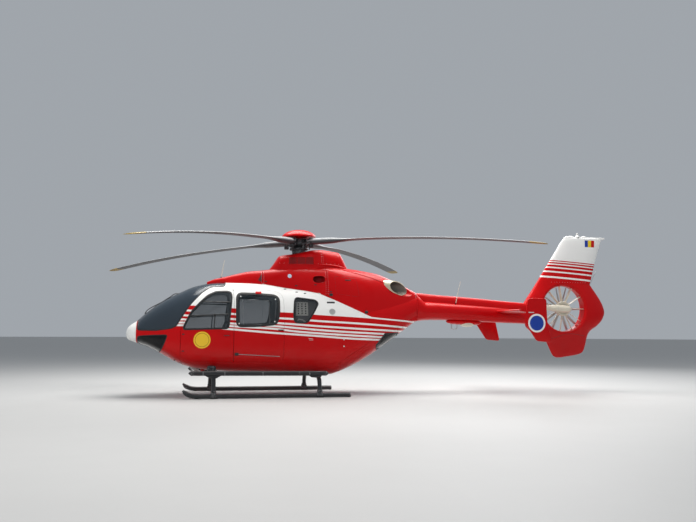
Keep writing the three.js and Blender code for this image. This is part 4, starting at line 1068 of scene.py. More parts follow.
def outsideHood(hood, p):  # about the distance outside a hood, negative inside
    first, last = hood["table"][0][0], hood["table"][-1][0]
    x = np.clip(p[..., 0], first, last)
    top, half = hood["at"](x)
    base = hood["low"](x)
    up = np.maximum(p[..., 2] - base, 0) / (top - base)
    ratio = np.abs(p[..., 1] / half) ** hood["full"] + up ** hood["full"]
    return np.maximum((ratio ** (1 / hood["full"]) - 1) * np.minimum(half, top - base), np.abs(p[..., 0] - x))


def hoodSide(hood, x, z):  # half width of a hood at a station and height
    top, half = hood["at"](x)
    base = hood["low"](x)
    up = np.clip((z - base) / (top - base), 0, 1)
    return half * (1 - up ** hood["full"]) ** (1 / hood["full"])


def hoodSheet(hood, level, stations, spacing=0.015, shares=(0.0, 1.0)):
    # the part of a hood's surface where the level is positive; shares past one half are its port side
    count = int((stations[1] - stations[0]) / spacing) + 2
    ring = int(220 * (shares[1] - shares[0]) * 0.015 / spacing) + 2
    grid = np.meshgrid(np.linspace(*stations, count), np.linspace(*shares, ring), indexing="ij")
    points = hoodPoint(hood, *grid)
    return clippedShape(points, level(points))


def fromExhaust(p):  # distance from the nearer exhaust pipe's axis
    start, end = np.array(exhaust["start"]), np.array(exhaust["end"])
    away = np.stack([p[..., 0], -np.abs(p[..., 1]), p[..., 2]], -1) - start
    along = unit(end - start)
    return np.linalg.norm(away - (away @ along)[..., None] * along, axis=-1) + 9 * (p[..., 0] < 4.6)


def cowlLevel(first, last):
    def level(p):
        solid = np.minimum(outsideHull(p) + 0.002, outsideHood(mastFairing, p) + mastFairing["clear"])
        solid = np.minimum(solid, fromExhaust(p) - exhaust["outer"] - exhaust["clear"])
        return np.min([solid, p[..., 0] - first, last - p[..., 0]], axis=0)
    return level


def mastFairingLevel(p):
    away = p - hubPlace
    fromMast = np.linalg.norm(away - (away @ mastAxis)[..., None] * mastAxis, axis=-1)
    return np.minimum(outsideHood(cowl, p) + 0.002, fromMast - mastFairing["hole"])


def makeCowls():
    first, last = cowl["ends"]
    fore, aft = cowl["seams"]
    half = cowl["seam"] / 2
    for name, start, end, node, paint in (("forwardFairing", first + 0.001, fore - half, "forward_fairing", "red"),
                                          ("gearboxCowling", fore + half, aft - half, "gearbox_cowling", "livery"),
                                          ("engineCowling", aft + half, last, "engine_cowling", "livery")):
        level = cowlLevel(start, end)
        shape = hoodSheet(cowl, lambda p: np.minimum(level(p), -intakeDepth(p)), (start - 0.02, min(end + 0.02, last)))
        painted(name, shape, "airframe", paint, cowl["wall"], [node], inner="black")
    shape = hoodSheet(mastFairing, mastFairingLevel, (2.8, 4.425), 0.016)
    painted("mastFairing", shape, "airframe", "red", mastFairing["wall"], ["mast_fairing"],
            inner="black")
    makeIntakes()


def intakeDepth(p):  # inside the rounded air intake on each flank of the gearbox cowling
    x, z, wide, high = cowl["intake"]
    away = np.abs((p[..., 0] - x) / wide) ** 2.8 + np.abs((p[..., 2] - z) / high) ** 2.8
    return (1 - away ** (1 / 2.8)) * high


def makeIntakes():
    # a bowl behind the oval: rings that shrink and sink inward from the cowl's surface
    x, z, wide, high = cowl["intake"]
    turn = np.linspace(0, 2 * np.pi, 65)[:-1]
    step = np.linspace(0, 1, 12)[:, None]
    size = (1.03 - 0.45 * step ** 2) * arcReach(turn, 2.8)
    ringX, ringZ = x + wide * size * np.cos(turn), z + high * size * np.sin(turn)
    edge = hoodSide(cowl, ringX, ringZ)
    bowl = np.stack([ringX, -(edge - 0.004 - 0.13 * step), ringZ], -1)
    for side, sign, shape in portOrStarboard(gridShape(bowl, wrap=True, capEnd=True)):
        # the bowl's darker red is painted shade
        makePiece(f"intakeBowl_{side}", shape, finish["intake"], closed=False)
    rim = hoodSheet(cowl, lambda p: 0.006 - np.abs(intakeDepth(p)), (x - 0.2, x + 0.2), 0.008, (0.5, 1.0))
    for side, sign, shape in portOrStarboard(rim):
        thicken(makePiece(f"intakeRim_{side}", shape, finish["red"], closed=False), 0.006, 0.6)


def makeExhausts():
    # a pipe about its axis, cut off by the plane of its mouth, with a rolled rim and a closed, sooty inside
    start, end = np.array(exhaust["start"]), np.array(exhaust["end"])
    facing, middle = unit(exhaust["facing"]), np.array(exhaust["mouth"])
    frameOf = axisFrame(end - start)
    length, turn = np.meshgrid(np.linspace(0.1, 0.95, 170), np.linspace(0, 2 * np.pi, 121), indexing="ij")

    def pipe(radius):
        local = np.stack([radius * np.cos(turn), radius * np.sin(turn), length], -1)
        points = local @ frameOf.T + start
        return points, (middle - points) @ facing
    tube = clippedShape(*pipe(exhaust["outer"]))
    points, behind = pipe(exhaust["outer"] + 0.003)
    rim = clippedShape(points, exhaust["rim"] - np.abs(behind - exhaust["rim"]))
    points, behind = pipe(exhaust["outer"] + 0.002)
    trough = clippedShape(points, np.minimum(0.02 - behind, 0.004 - outsideHood(cowl, points)))
    back = start + exhaust["depth"] * unit(end - start)
    inside = lathe([(0.122, 0.16), (0.118, 0.02), (0.105, 0.0), (0.062, 0.0), (0.058, 0.12), (0.04, 0.2), (0.0, 0.24)],
                   back, end - start, 64)
    for side, sign, sheet in portOrStarboard(tube):
        piece = thicken(makePiece(f"exhaustPipe_{side}", sheet, finish["exhaust"], closed=False), exhaust["wall"])
        piece.data.materials.append(finish["pipe"])
        piece.modifiers["wall"].material_offset = 1
        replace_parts(piece, f"exhaust_{side}")
        thicken(added(f"exhaustRim_{side}", sided(rim, sign), "exhaust", closed=False), 0.012)
        added(f"exhaustTrough_{side}", sided(trough, sign), "red", closed=False)
        added(f"exhaustCone_{side}", sided(inside, sign), "soot", closed=False)


# Tail boom: station, underside, top, half width
boom = {"full": 2.5, "end": 5.8945,
    "table": [(5.894, 1.48, 2.094, 0.288), (5.97, 1.494, 2.02, 0.281), (6.05, 1.507, 1.938, 0.274),
        (6.085, 1.509, 1.914, 0.271), (6.16, 1.513, 1.911, 0.265), (6.391, 1.518, 1.9, 0.245),
        (6.933, 1.505, 1.865, 0.215), (7.396, 1.486, 1.838, 0.19), (7.929, 1.466, 1.802, 0.165),
        (8.4, 1.452, 1.775, 0.145), (8.7, 1.44, 1.76, 0.13)]}
# Drive shaft cover along the boom's top: station, top, half width
shaftCover = {"foot": 1.65, "full": 3.0, "sink": 0.06,
    "table": [(5.894, 2.093, 0.15), (6.091, 2.078, 0.128), (6.391, 2.052, 0.118), (6.933, 2.019, 0.114),
        (7.396, 1.984, 0.11), (7.929, 1.941, 0.106), (8.4, 1.909, 0.1), (8.7, 1.89, 0.092)]}
# Fin: height, front, rear, half thickness
fin = {"round": 0.03, "power": 0.85, "taper": 0.18, "duct": (9.31, 1.79), "radius": 0.5, "lip": 0.06,
    "table": [(0.714, 9.15, 9.262, 0.03), (0.74, 9.1, 9.43, 0.038), (0.785, 9.062, 9.692, 0.05),
        (0.84, 9.032, 9.798, 0.06), (0.95, 8.98, 9.85, 0.075), (1.1, 8.9, 9.89, 0.105), (1.2, 8.74, 9.918, 0.14),
        (1.3, 8.545, 9.985, 0.17), (1.42, 8.44, 10.16, 0.192), (1.57, 8.42, 10.297, 0.203),
        (1.72, 8.4, 10.348, 0.206), (1.85, 8.392, 10.318, 0.204), (1.98, 8.46, 10.255, 0.192),
        (2.15, 8.58, 10.142, 0.165), (2.29, 8.675, 10.042, 0.138), (2.345, 8.712, 10.01, 0.13),
        (2.4, 8.748, 10.026, 0.124), (2.52, 8.826, 10.062, 0.11), (2.81, 9.018, 10.142, 0.09),
        (3.09, 9.205, 10.232, 0.075), (3.31, 9.345, 10.302, 0.06), (3.395, 9.432, 10.322, 0.045)],
    # domes on the top: station, level, half length, half width, height
    "domes": [(9.55, 3.372, 0.15, 0.033, 0.057), (9.888, 3.396, 0.078, 0.03, 0.037)],
    "plate": [(9.64, 3.384), (9.64, 3.409), (10.403, 3.409), (10.403, 3.364), (10.3, 3.356)],
    "beacon": (9.733, 3.409)}
boom["at"] = tableCurves(boom["table"], 0.022)
fin["at"] = tableCurves(fin["table"], 0.018)
shaftCover["at"] = tableCurves(shaftCover["table"], 0.05)
shaftCover["low"] = lambda x: boom["at"](x)[1] - shaftCover["sink"]
stabiliser = {"span": 1.309, "front": 7.7, "chord": 0.53, "height": 1.712, "droop": 0.03, "half": 0.032}
endPlate = {"from": 1.3105, "to": 1.3355, "radius": 0.06,
    "outline": [(7.89, 1.95), (8.29, 1.95), (8.3, 1.5), (8.395, 1.062), (8.062, 1.09), (7.812, 1.46)]}


def boomPoint(x, turn, grow=0.0):
    low, top, half = boom["at"](x)
    reach = arcReach(turn, boom["full"])
    return np.stack([x, (half + grow) * np.cos(turn) * reach,
                     (low + top) / 2 + ((top - low) / 2 + grow) * np.sin(turn) * reach], -1)


def finRow(z):
    # front, rear and half thickness at a height, drawn in elliptically at the very top and bottom
    low, high, reach = fin["table"][0][0], fin["table"][-1][0], fin["round"]
    front, rear, half = fin["at"](z)
    near = np.clip(1 - np.minimum(z - low, high - z) / reach, 0, 1)
    drawn = np.sqrt(np.maximum(1 - near ** 2, 0))
    inset = (1 - drawn) * reach
    return front + inset, rear - inset, half * (0.05 + 0.95 * drawn)


def finSide(x, z):  # half thickness of the fin at a station and height
    front, rear, half = finRow(z)
    share = np.clip((x - front) / (rear - front), 0, 1)
    across = np.sqrt(np.maximum(1 - (1 - 2 * share) ** 2, 0))
    return half * across ** fin["power"] * (1 - fin["taper"] * share)


def finPoint(z, turn):
    # share of the chord is (1 - cos) / 2 and the thickness goes with a power of sin
    front, rear, half = finRow(z)
    share = 0.5 - 0.5 * np.cos(turn)
    side = np.sign(np.sin(turn)) * half * np.abs(np.sin(turn)) ** fin["power"] * (1 - fin["taper"] * share)
    return np.stack([front + share * (rear - front), side, z], -1)


def fromDuct(p):
    return np.hypot(p[..., 0] - fin["duct"][0], p[..., 2] - fin["duct"][1])


domeProfile = [(1.0, 0.0), (0.97, 0.25), (0.85, 0.53), (0.6, 0.8), (0.3, 0.955), (0, 1)]


def makeTail():
    station = boom["end"] + (8.7 - boom["end"]) * np.linspace(0, 1, 230) ** 1.25
    grid = np.meshgrid(station, fullTurn(112), indexing="ij")
    body = capped(boomPoint(*grid))
    grid = np.meshgrid(station, np.linspace(0.06, 0.94, 60), indexing="ij")
    cover = capped(hoodPoint(shaftCover, *grid))
    added("tailBoom", joined(body, cover), "red", "tail_boom")

    low, high = fin["table"][0][0], fin["table"][-1][0]
    z = np.linspace(low, high, 330)
    z = np.unique(np.concatenate([z, low + fin["round"] * np.linspace(0, 1, 12) ** 2,
                                  high - fin["round"] * np.linspace(0, 1, 12) ** 2]))
    grid = np.meshgrid(z, np.linspace(0, 2 * np.pi, 161), indexing="ij")
    points = finPoint(*grid)
    skin = flipped(clippedShape(points, fromDuct(points) - fin["radius"] - fin["lip"]))
    ends = [points[0, :-1], points[-1, ::-1][:-1]]
    caps = [gridShape(np.stack([edge, edge * (1, 0, 1)]), wrap=True) for edge in ends]
    dome = lathe([(0, -1.2), (1.0, -1.2)] + domeProfile, sides=64)
    domes = [(dome[0] * (long, wide, tall) + (x, 0, z), dome[1]) for x, z, long, wide, tall in fin["domes"]]
    foot = lathe([(0, -0.012), (0.052, -0.012), (0.05, 0.004), (0.036, 0.018), (0.024, 0.034), (0.018, 0.048),
                  (0, 0.048)], (fin["beacon"][0], 0, fin["beacon"][1]), sides=40)
    plate = sidePlate(roundedOutline(fin["plate"], 0.02), -0.014, 0.014, 0.005)
    added("tailFin", joined(skin, *caps, *domes, foot, plate), "fin", "tail_fin", closed=False)
    x, z = fin["beacon"]
    lamp = lathe([(0, 0.0005), (0.026, 0.0005), (0.026, 0.01), (0.016, 0.018), (0.015, 0.05), (0.021, 0.054),
                  (0.021, 0.078), (0.012, 0.088), (0, 0.09)], (x, 0, z), sides=32)
    added("finBeacon", lamp, "lampWhite", "fin_beacon")

    # duct: from the port skin round a quarter-ellipse lip, straight through, and out to the starboard skin
    turn = fullTurn(180)
    edge = fin["radius"] + fin["lip"] + 0.001
    skinSide = finSide(fin["duct"][0] + edge * np.cos(turn), fin["duct"][1] + edge * np.sin(turn)) - 0.0004
    t = np.linspace(0, np.pi / 2, 12)
    t = np.concatenate([t, t[::-1]])
    radius, drawIn = edge - (edge - fin["radius"]) * np.sin(t), fin["lip"] * (1 - np.cos(t))
    sign = np.concatenate([-np.ones(12), np.ones(12)])
    side = sign[:, None] * (skinSide[None] - drawIn[:, None])
    duct = np.stack([fin["duct"][0] + radius[:, None] * np.cos(turn), side,
                     fin["duct"][1] + radius[:, None] * np.sin(turn)], -1)
    added("ductRing", gridShape(duct, wrap=True), "fin", closed=False)

    span, turn = np.meshgrid(np.linspace(-1, 1, 41) * stabiliser["span"], fullTurn(56), indexing="ij")
    share = 0.5 - 0.5 * np.cos(turn)
    half = stabiliser["half"] * np.abs(np.sin(turn)) ** 0.8 * (1.1 - 0.4 * share)
    wing = np.stack([stabiliser["front"] + share * stabiliser["chord"], span,
                     stabiliser["height"] - share * stabiliser["droop"] + np.sign(np.sin(turn)) * half], -1)
    added("stabiliser", capped(wing), "red", "horizontal_stabiliser")
    plate = sidePlate(roundedOutline(endPlate["outline"], endPlate["radius"], 8), -endPlate["to"], -endPlate["from"],
                      0.009)
    bothSides("endPlate", plate, "endPlate", "end_plate")


def sidePlate(outline, low, high, edge, steps=4):
    # an outline in station and height given thickness along y, its edges rounded with a quarter circle
    outline = np.asarray(outline)
    run = np.roll(outline, -1, 0) - np.roll(outline, 1, 0)
    outward = unit(np.stack([run[:, 1], -run[:, 0]], -1))
    if ((outline - outline.mean(0)) * outward).sum() < 0:
        outward = -outward
    t = np.linspace(0, np.pi / 2, steps)
    inset = edge * (1 - np.sin(np.concatenate([t, t[::-1]])))
    place = np.concatenate([low + edge * (1 - np.cos(t)), high - edge * (1 - np.cos(t[::-1]))])
    rings = outline[None] - inset[:, None, None] * outward[None]
    points = np.stack([rings[..., 0], np.broadcast_to(place[:, None], rings.shape[:2]), rings[..., 1]], -1)
    return capped(points)


# Ducted fan
fan = {"vanes": 11, "vaneChord": 0.084, "vaneThick": 0.009, "vaneTwist": 0.14, "vaneSide": -0.05, "blades": 10,
    "bladeChord": 0.056, "bladeThick": 0.011, "bladeTwist": -0.95, "bladeSide": 0.062, "tip": 0.485, "uneven": 0.12,
    # shaft fairing: start, slope, and its radius by distance along
    "fairing": (8.8105, -0.105, 1.814), "slope": 0.06,
    "swell": [(0.0, 0.05), (0.12, 0.058), (0.35, 0.08), (0.45, 0.086), (0.56, 0.084), (0.64, 0.066), (0.672, 0.036),
        (0.68, 0.012)]}


def radialBlade(reach, chord, thick, twist, full=0.8):
    # an aerofoil along +x: chord along y, thickness along z, each section turned by its own twist
    radius, turn = np.meshgrid(reach, fullTurn(28), indexing="ij")
    share = 0.5 - 0.5 * np.cos(turn)
    along = (share - 0.5) * chord[:, None]
    up = np.sign(np.sin(turn)) * np.abs(np.sin(turn)) ** full * thick[:, None] / 2 * (1.15 - 0.3 * share)
    c, s = np.cos(twist)[:, None], np.sin(twist)[:, None]
    return capped(np.stack([radius, along * c - up * s, along * s + up * c], -1))


def yTurn(angle):
    angle = np.atleast_1d(angle)
    c, s, o, i = np.cos(angle), np.sin(angle), np.zeros(len(angle)), np.ones(len(angle))
    return np.stack([np.stack([c, o, s], -1), np.stack([o, i, o], -1), np.stack([-s, o, c], -1)], -2)


def makeFan():
    x, z = fin["duct"]
    centre = np.array([x, 0, z])
    angles = np.pi + (np.arange(fan["vanes"]) + 0.5) * 2 * np.pi / fan["vanes"]
    reach = np.linspace(0.125, 0.497, 10)
    ones = np.ones(10)
    vane = radialBlade(reach, fan["vaneChord"] * ones, fan["vaneThick"] * ones, fan["vaneTwist"] * ones)
    vanes = repeated(vane, np.tile(centre + (0, fan["vaneSide"], 0), (fan["vanes"], 1)), yTurn(angles))
    hub = lathe([(0, -0.084), (0.118, -0.084), (0.14, -0.092), (0.152, -0.1), (0.16, -0.096), (0.165, -0.084),
                 (0.165, -0.01), (0.161, 0.004), (0.15, 0.008), (0, 0.008)], centre, (0, 1, 0), 72)
    ribs = [lathe([(r, -0.086), (r, -0.094), (r + 0.008, -0.094), (r + 0.008, -0.086)], centre, (0, 1, 0), 72,
                  closed=True)
            for r in (0.1, 0.12)]
    along = np.array([math.cos(fan["slope"]), 0, -math.sin(fan["slope"])])
    swell = smoothPath([(*row, 0) for row in fan["swell"]], 60)[:, 1::-1]
    fairing = lathe(np.vstack([[(0, 0.0)], swell, [(0, 0.68)]]), fan["fairing"], along, 48)
    bands = [lathe([(r, s), (r + 0.0035, s + 0.002), (r + 0.0035, s + 0.012), (r, s + 0.014)], fan["fairing"], along,
                   48, closed=True) for s, r in ((0.135, 0.0585), (0.33, 0.0765))]
    added("tailStator", joined(vanes, hub, *ribs, fairing, *bands), "cream", "tail_stator")

    reach = np.linspace(0.115, fan["tip"], 14)
    root = np.clip((reach - 0.115) / 0.06, 0, 1)
    blade = radialBlade(reach, fan["bladeChord"] * (0.45 + 0.55 * root), 0.022 - (0.022 - fan["bladeThick"]) * root,
                        fan["bladeTwist"] * (1.35 - 0.55 * (reach - 0.115) / 0.37))
    k = np.arange(fan["blades"])
    blades = repeated(blade, np.tile(centre + (0, fan["bladeSide"], 0), (fan["blades"], 1)),
                      yTurn(k * 2 * np.pi / fan["blades"] + (k % 2) * fan["uneven"]))
    hub = lathe([(0, 0.0085), (0.045, 0.0085), (0.045, 0.02), (0.118, 0.02), (0.129, 0.028), (0.129, 0.098),
                 (0.12, 0.108), (0.06, 0.11), (0.058, 0.126), (0.048, 0.129), (0, 0.129)], centre, (0, 1, 0))
    bolts = lathe([(0, 0), (0.007, 0), (0.007, 0.008), (0.005, 0.01), (0, 0.01)], (0, 0, 0), (0, 1, 0), 10)
    turn = np.arange(10) * 2 * np.pi / 10
    bolts = repeated(bolts, centre + np.stack([0.092 * np.cos(turn), np.full(10, 0.107), 0.092 * np.sin(turn)], -1))
    added("tailRotor", joined(blades, hub, bolts), "alloy", "tail_rotor", "tail_rotor_body")


# Main rotor: radius, chord, thickness, share of the chord ahead of the pitch line
rotor = {"radius": 5.1, "droop": 0.345, "bend": 2.27, "first": 0.657,
    "table": [(0.1655, 0.13, 0.07, 0.5), (0.27, 0.15, 0.096, 0.5), (0.4, 0.205, 0.13, 0.5), (0.76, 0.19, 0.118, 0.5),
        (0.96, 0.17, 0.084, 0.48), (1.25, 0.235, 0.048, 0.38), (1.52, 0.288, 0.036, 0.3), (2.4, 0.288, 0.034, 0.28),
        (3.4, 0.288, 0.034, 0.28), (4.3, 0.288, 0.032, 0.28), (4.85, 0.276, 0.028, 0.28), (5.02, 0.245, 0.024, 0.26),
        (5.099, 0.17, 0.014, 0.2)]}
rotor["at"] = tableCurves(rotor["table"], 0.012)


def onRotor(local):  # rotor directions to stations
    return np.asarray(local) @ rotorTurn.T + hubPlace


def rotorFrame(angle):  # columns: outward along the blade, across it, and up
    c, s = math.cos(angle), math.sin(angle)
    return rotorTurn @ np.array([[c, -s, 0], [-s, -c, 0], [0, 0, 1.0]])


def bladePoint(radius, turn):
    # rounded at the root cuff, an aerofoil outboard; the blade sags with a power of the radius
    chord, thick, ahead = rotor["at"](radius)
    share = 0.5 - 0.5 * np.cos(turn)
    thin = np.clip((radius - 0.95) / 0.4, 0, 1)
    up = thick / 2 * np.sign(np.sin(turn)) * np.abs(np.sin(turn)) ** 0.8 * (1 + thin * (0.15 - 0.5 * share))
    return np.stack([radius, (share - ahead) * chord,
                     up - rotor["droop"] * (radius / rotor["radius"]) ** rotor["bend"]], -1)


def bladeShape():
    radius = np.concatenate([np.linspace(0.1655, 1.6, 90), np.linspace(1.6, 4.8, 60)[1:],
                             np.linspace(4.8, 5.099, 26)[1:]])
    grid = np.meshgrid(radius, fullTurn(48), indexing="ij")
    return capped(bladePoint(*grid))


def makeMainRotor():
    for k in range(4):
        angle = rotor["first"] + k * np.pi / 2
        shape = repeated(bladeShape(), [hubPlace], [rotorFrame(angle)])
        added(f"mainBlade_{k + 1}", shape, "blade", f"main_blade_{k + 1}", "main_rotor")
    hub = lathe([(0, -0.475), (0.078, -0.475), (0.078, -0.14), (0.084, -0.12), (0.108, -0.1), (0.11, -0.066),
                 (0.15, -0.052), (0.162, -0.046), (0.165, -0.038), (0.165, 0.038), (0.16, 0.046), (0.11, 0.058),
                 (0.1, 0.06), (0, 0.06)], hubPlace, mastAxis, 64)
    bolt = lathe([(0.016, 0.052), (0.016, 0.066), (0.01, 0.07), (0.01, 0.078), (0, 0.078)], (0, 0, 0), (0, 0, 1), 6)
    turn = np.arange(8) * np.pi / 4 + rotor["first"] + np.pi / 8
    bolts = repeated(bolt, onRotor(np.stack([0.132 * np.cos(turn), 0.132 * np.sin(turn), 0 * turn], -1)),
                     [rotorTurn] * 8)
    added("rotorMast", joined(hub, bolts), "hub", "rotor_mast", "main_rotor")
    profile = smoothPath([(0.095, 0.0606, 0), (0.095, 0.096, 0), (0.346, 0.104, 0), (0.356, 0.114, 0),
                          (0.345, 0.138, 0),
                          (0.285, 0.19, 0), (0.195, 0.232, 0), (0.09, 0.254, 0), (0.0, 0.259, 0)], 60)[:, :2]
    profile = np.vstack([[(0, 0.0606)], profile])
    added("hubCap", lathe(profile, hubPlace, mastAxis, 96), "red", "hub_cap", "main_rotor")

    plate = lathe([(0.0785, -0.286), (0.15, -0.286), (0.162, -0.29), (0.165, -0.298), (0.165, -0.318), (0.162, -0.325),
                   (0.15, -0.33), (0.0785, -0.33)], hubPlace, mastAxis, 64, closed=True)
    parts = [plate]
    for k in range(4):
        lead = rotor["first"] + k * np.pi / 2 + 0.42
        low = onRotor([0.106 * math.cos(lead), -0.106 * math.sin(lead), -0.296])
        high = onRotor([0.122 * math.cos(lead), -0.122 * math.sin(lead), -0.15])
        parts.append(roundBar(np.linspace(low, high, 6), np.array([0.011, 0.008, 0.008, 0.008, 0.008, 0.011]), 16))
        for end in (low, high):
            parts.append(lathe([(0, -0.014), (0.012, -0.014), (0.018, -0.008), (0.018, 0.008), (0.012, 0.014),
                                (0, 0.014)], end, (-math.sin(lead), -math.cos(lead), 0), 20))
    added("swashplateLinks", joined(*parts), "steel", "swashplate", "main_rotor")


# Landing gear
gear = {"spacing": 1.0, "radius": 0.045, "crossRadius": 0.042, "stepSide": 0.962, "stepRadius": 0.038,
    "stepTall": 1.18,
    "path": [(1.112, 0.16), (1.18, 0.098), (1.29, 0.056), (1.43, 0.043), (1.8, 0.043), (2.4, 0.043), (4.3, 0.043)],
    "cross": [("front", 1.677, 0.442), ("rear", 3.696, 0.396)], "step": [(1.212, 0.472), (2.5, 0.464),
        (3.874, 0.456)]}


def makeGear():
    for name, sign in (("left", -1), ("right", 1)):
        path = smoothPath([(x, sign * gear["spacing"], z) for x, z in gear["path"]], 110)
        size = gear["radius"] * np.sqrt(np.clip(np.linspace(0, 1, 110) * 40, 0.15, 1))
        verts, faces = sweep(path, circle(1.0, 28), (0, 0, 1), size)
        verts[:, 2] = np.maximum(verts[:, 2], 0)
        added(f"skid_{name}", (verts, faces), "gear", f"skid_{name}")
        path = smoothPath([(x, sign * gear["stepSide"], z) for x, z in gear["step"]], 60)
        size = gear["stepRadius"] * np.sqrt(1 - np.clip(np.abs(np.linspace(-1, 1, 60)) * 40 - 39, 0, 0.98) ** 2)
        parts = [sweep(path, circle(1.0, 28, gear["stepTall"]), (0, 0, 1), size)]
        for cross, x, z in gear["cross"]:
            low, high = sorted([sign * 0.865, sign * 0.945])
            parts.append(roundedBox((x - 0.022, low, z - 0.004), (x + 0.022, high, z + 0.052), 0.008))
        added(f"step_{name}", joined(*parts), "gear", f"step_{name}")
        grip = clippedShape(*gripGrid(path))
        thicken(makePiece(f"stepGrip_{name}", grip, finish["grip"], closed=False), 0.003, 0.6)
    for name, x, z in gear["cross"]:
        bend = [(1.0, 0.05), (0.994, 0.15), (0.955, 0.3), (0.87, z - 0.032), (0.7, z), (0.3, z), (0.0, z)]
        points = [(x, -y, h) for y, h in bend] + [(x, y, h) for y, h in bend[-2::-1]]
        parts = [roundBar(points, gear["crossRadius"] - 0.0005, 28, 150, (1, 0, 0))]
        for sign in (-1, 1):
            low, high = sorted([sign * (gear["spacing"] - 0.051), sign * (gear["spacing"] + 0.051)])
            parts.append(roundedBox((x - 0.059, low, 0.02), (x + 0.059, high, 0.11), 0.018))
            for dx in (-0.04, 0.04):
                for dy in (-0.034, 0.034):
                    parts.append(lathe([(0, 0.106), (0.011, 0.106), (0.011, 0.119), (0.006, 0.121), (0, 0.121)],
                                       (x + dx, sign * gear["spacing"] + dy, 0), (0, 0, 1), 6))
            parts.append(lathe([(0.041, 0.118), (0.05, 0.118), (0.052, 0.124), (0.052, 0.14), (0.05, 0.146),
                                (0.041, 0.146)], (x, sign * 0.998, 0), (0, 0, 1), 28, closed=True))
        added(f"crossTube_{name}", joined(*parts), "gear", f"cross_tube_{name}")


def gripGrid(path):
    # the upper half of the step, one patch between the two clamps
    station, turn = np.meshgrid(np.linspace(0, 1, 200), np.linspace(0.12 * np.pi, 0.88 * np.pi, 24), indexing="ij")
    x = np.interp(station, np.linspace(0, 1, len(path)), path[:, 0])
    z = np.interp(station, np.linspace(0, 1, len(path)), path[:, 2])
    r = gear["stepRadius"] + 0.0005
    points = np.stack([x, path[0, 1] - r * np.cos(turn), z + gear["stepTall"] * r * np.sin(turn)], -1)
    fromClamp = np.min([np.abs(x - place) for name, place, height in gear["cross"]], axis=0)
    level = np.minimum(np.minimum(x - 1.26, 3.82 - x), fromClamp - 0.06)
    return points, level


makeCowls()
makeExhausts()
print("cowls made")
makeTail()
makeFan()
print("tail made")
makeMainRotor()
print("main rotor made")
makeGear()
print("landing gear made")


# Fittings stand on the port side of a skin, and again on the starboard side
def onSide(skin, x, z, out=0.0):
    # places on a skin given by its half width, and a frame for each: aft, up and outward along it
    x, z = np.broadcast_arrays(np.atleast_1d(np.asarray(x, float)), np.asarray(z, float))
    step = 0.008
    slopeX = (skin(x + step, z) - skin(x - step, z)) / (2 * step)
    slopeZ = (skin(x, z + step) - skin(x, z - step)) / (2 * step)
    outward = unit(np.stack([-slopeX, -np.ones(x.shape), -slopeZ], -1))
    aft = unit(np.cross((0, 0, 1.0), outward))
    return np.stack([x, -skin(x, z), z], -1) + out * outward, np.stack([aft, np.cross(outward, aft), outward], -1)


def fitted(name, parts, material, body="airframe"):
    # small shapes set on a skin; each row is a shape, its skin, and where its copies stand
    shape = joined(*[repeated(part, *onSide(skin, x, z)) for part, skin, x, z in parts])
    bothSides(name, shape, material, body=body)


def alongSide(skin, points, radius, out=0.002, count=60, sides=12):
    # a bar that follows a skin through points of station and height
    path = smoothPath([(*point, 0) for point in points], count)
    return roundBar(onSide(skin, path[:, 0], path[:, 1], out)[0], radius, sides, up=(0.1, 1, 0.1))


def cowlSkin(x, z):
    return hoodSide(cowl, x, z)


def fairingSkin(x, z):
    return hoodSide(mastFairing, x, z)


def block(long, wide, low, high, radius, steps=4):  # a rounded box centred on its place; half sizes
    return roundedBox((-long, -wide, low), (long, wide, high), radius, steps)


screw = lathe([(0, -0.002), (0.0055, -0.002), (0.0055, 0.0006), (0.003, 0.0016), (0, 0.0018)], sides=8)
whiteDot = lathe([(0, -0.002), (0.014, -0.002), (0.014, 0.003), (0.01, 0.005), (0, 0.005)], sides=24)
latch = block(0.024, 0.01, -0.004, 0.005, 0.004, 3)
pull = roundBar([(-0.05, 0, -0.002), (-0.046, 0, 0.02), (0, 0, 0.026), (0.046, 0, 0.02), (0.05, 0, -0.002)], 0.006,
                12, 30, up=(0, 1, 0))
fittings = {"rail": [(2.1, 0.822), (2.45, 0.803), (2.944, 0.777)],
    "gutter": [(3.797, 2.578), (4.05, 2.56), (4.318, 2.503), (4.904, 2.343), (5.161, 2.252)],
    "paneFrame": [(2.216, 1.884), (2.736, 1.862), (2.738, 1.395), (2.23, 1.39)],
    "fastenerRows": [(2.618, 2.18, 2.46), (2.662, 2.18, 2.46), (3.888, 2.02, 2.53), (3.932, 2.02, 2.53),
        (5.86, 1.86, 2.06)], "engineDoor": [(4.06, 2.38), (4.5, 2.33), (4.56, 1.96), (4.09, 2.02)],
    "stationPort": (3.989, 1.657, 0.062), "whiteDots": [(4.217, 1.106), (4.218, 0.974)]}


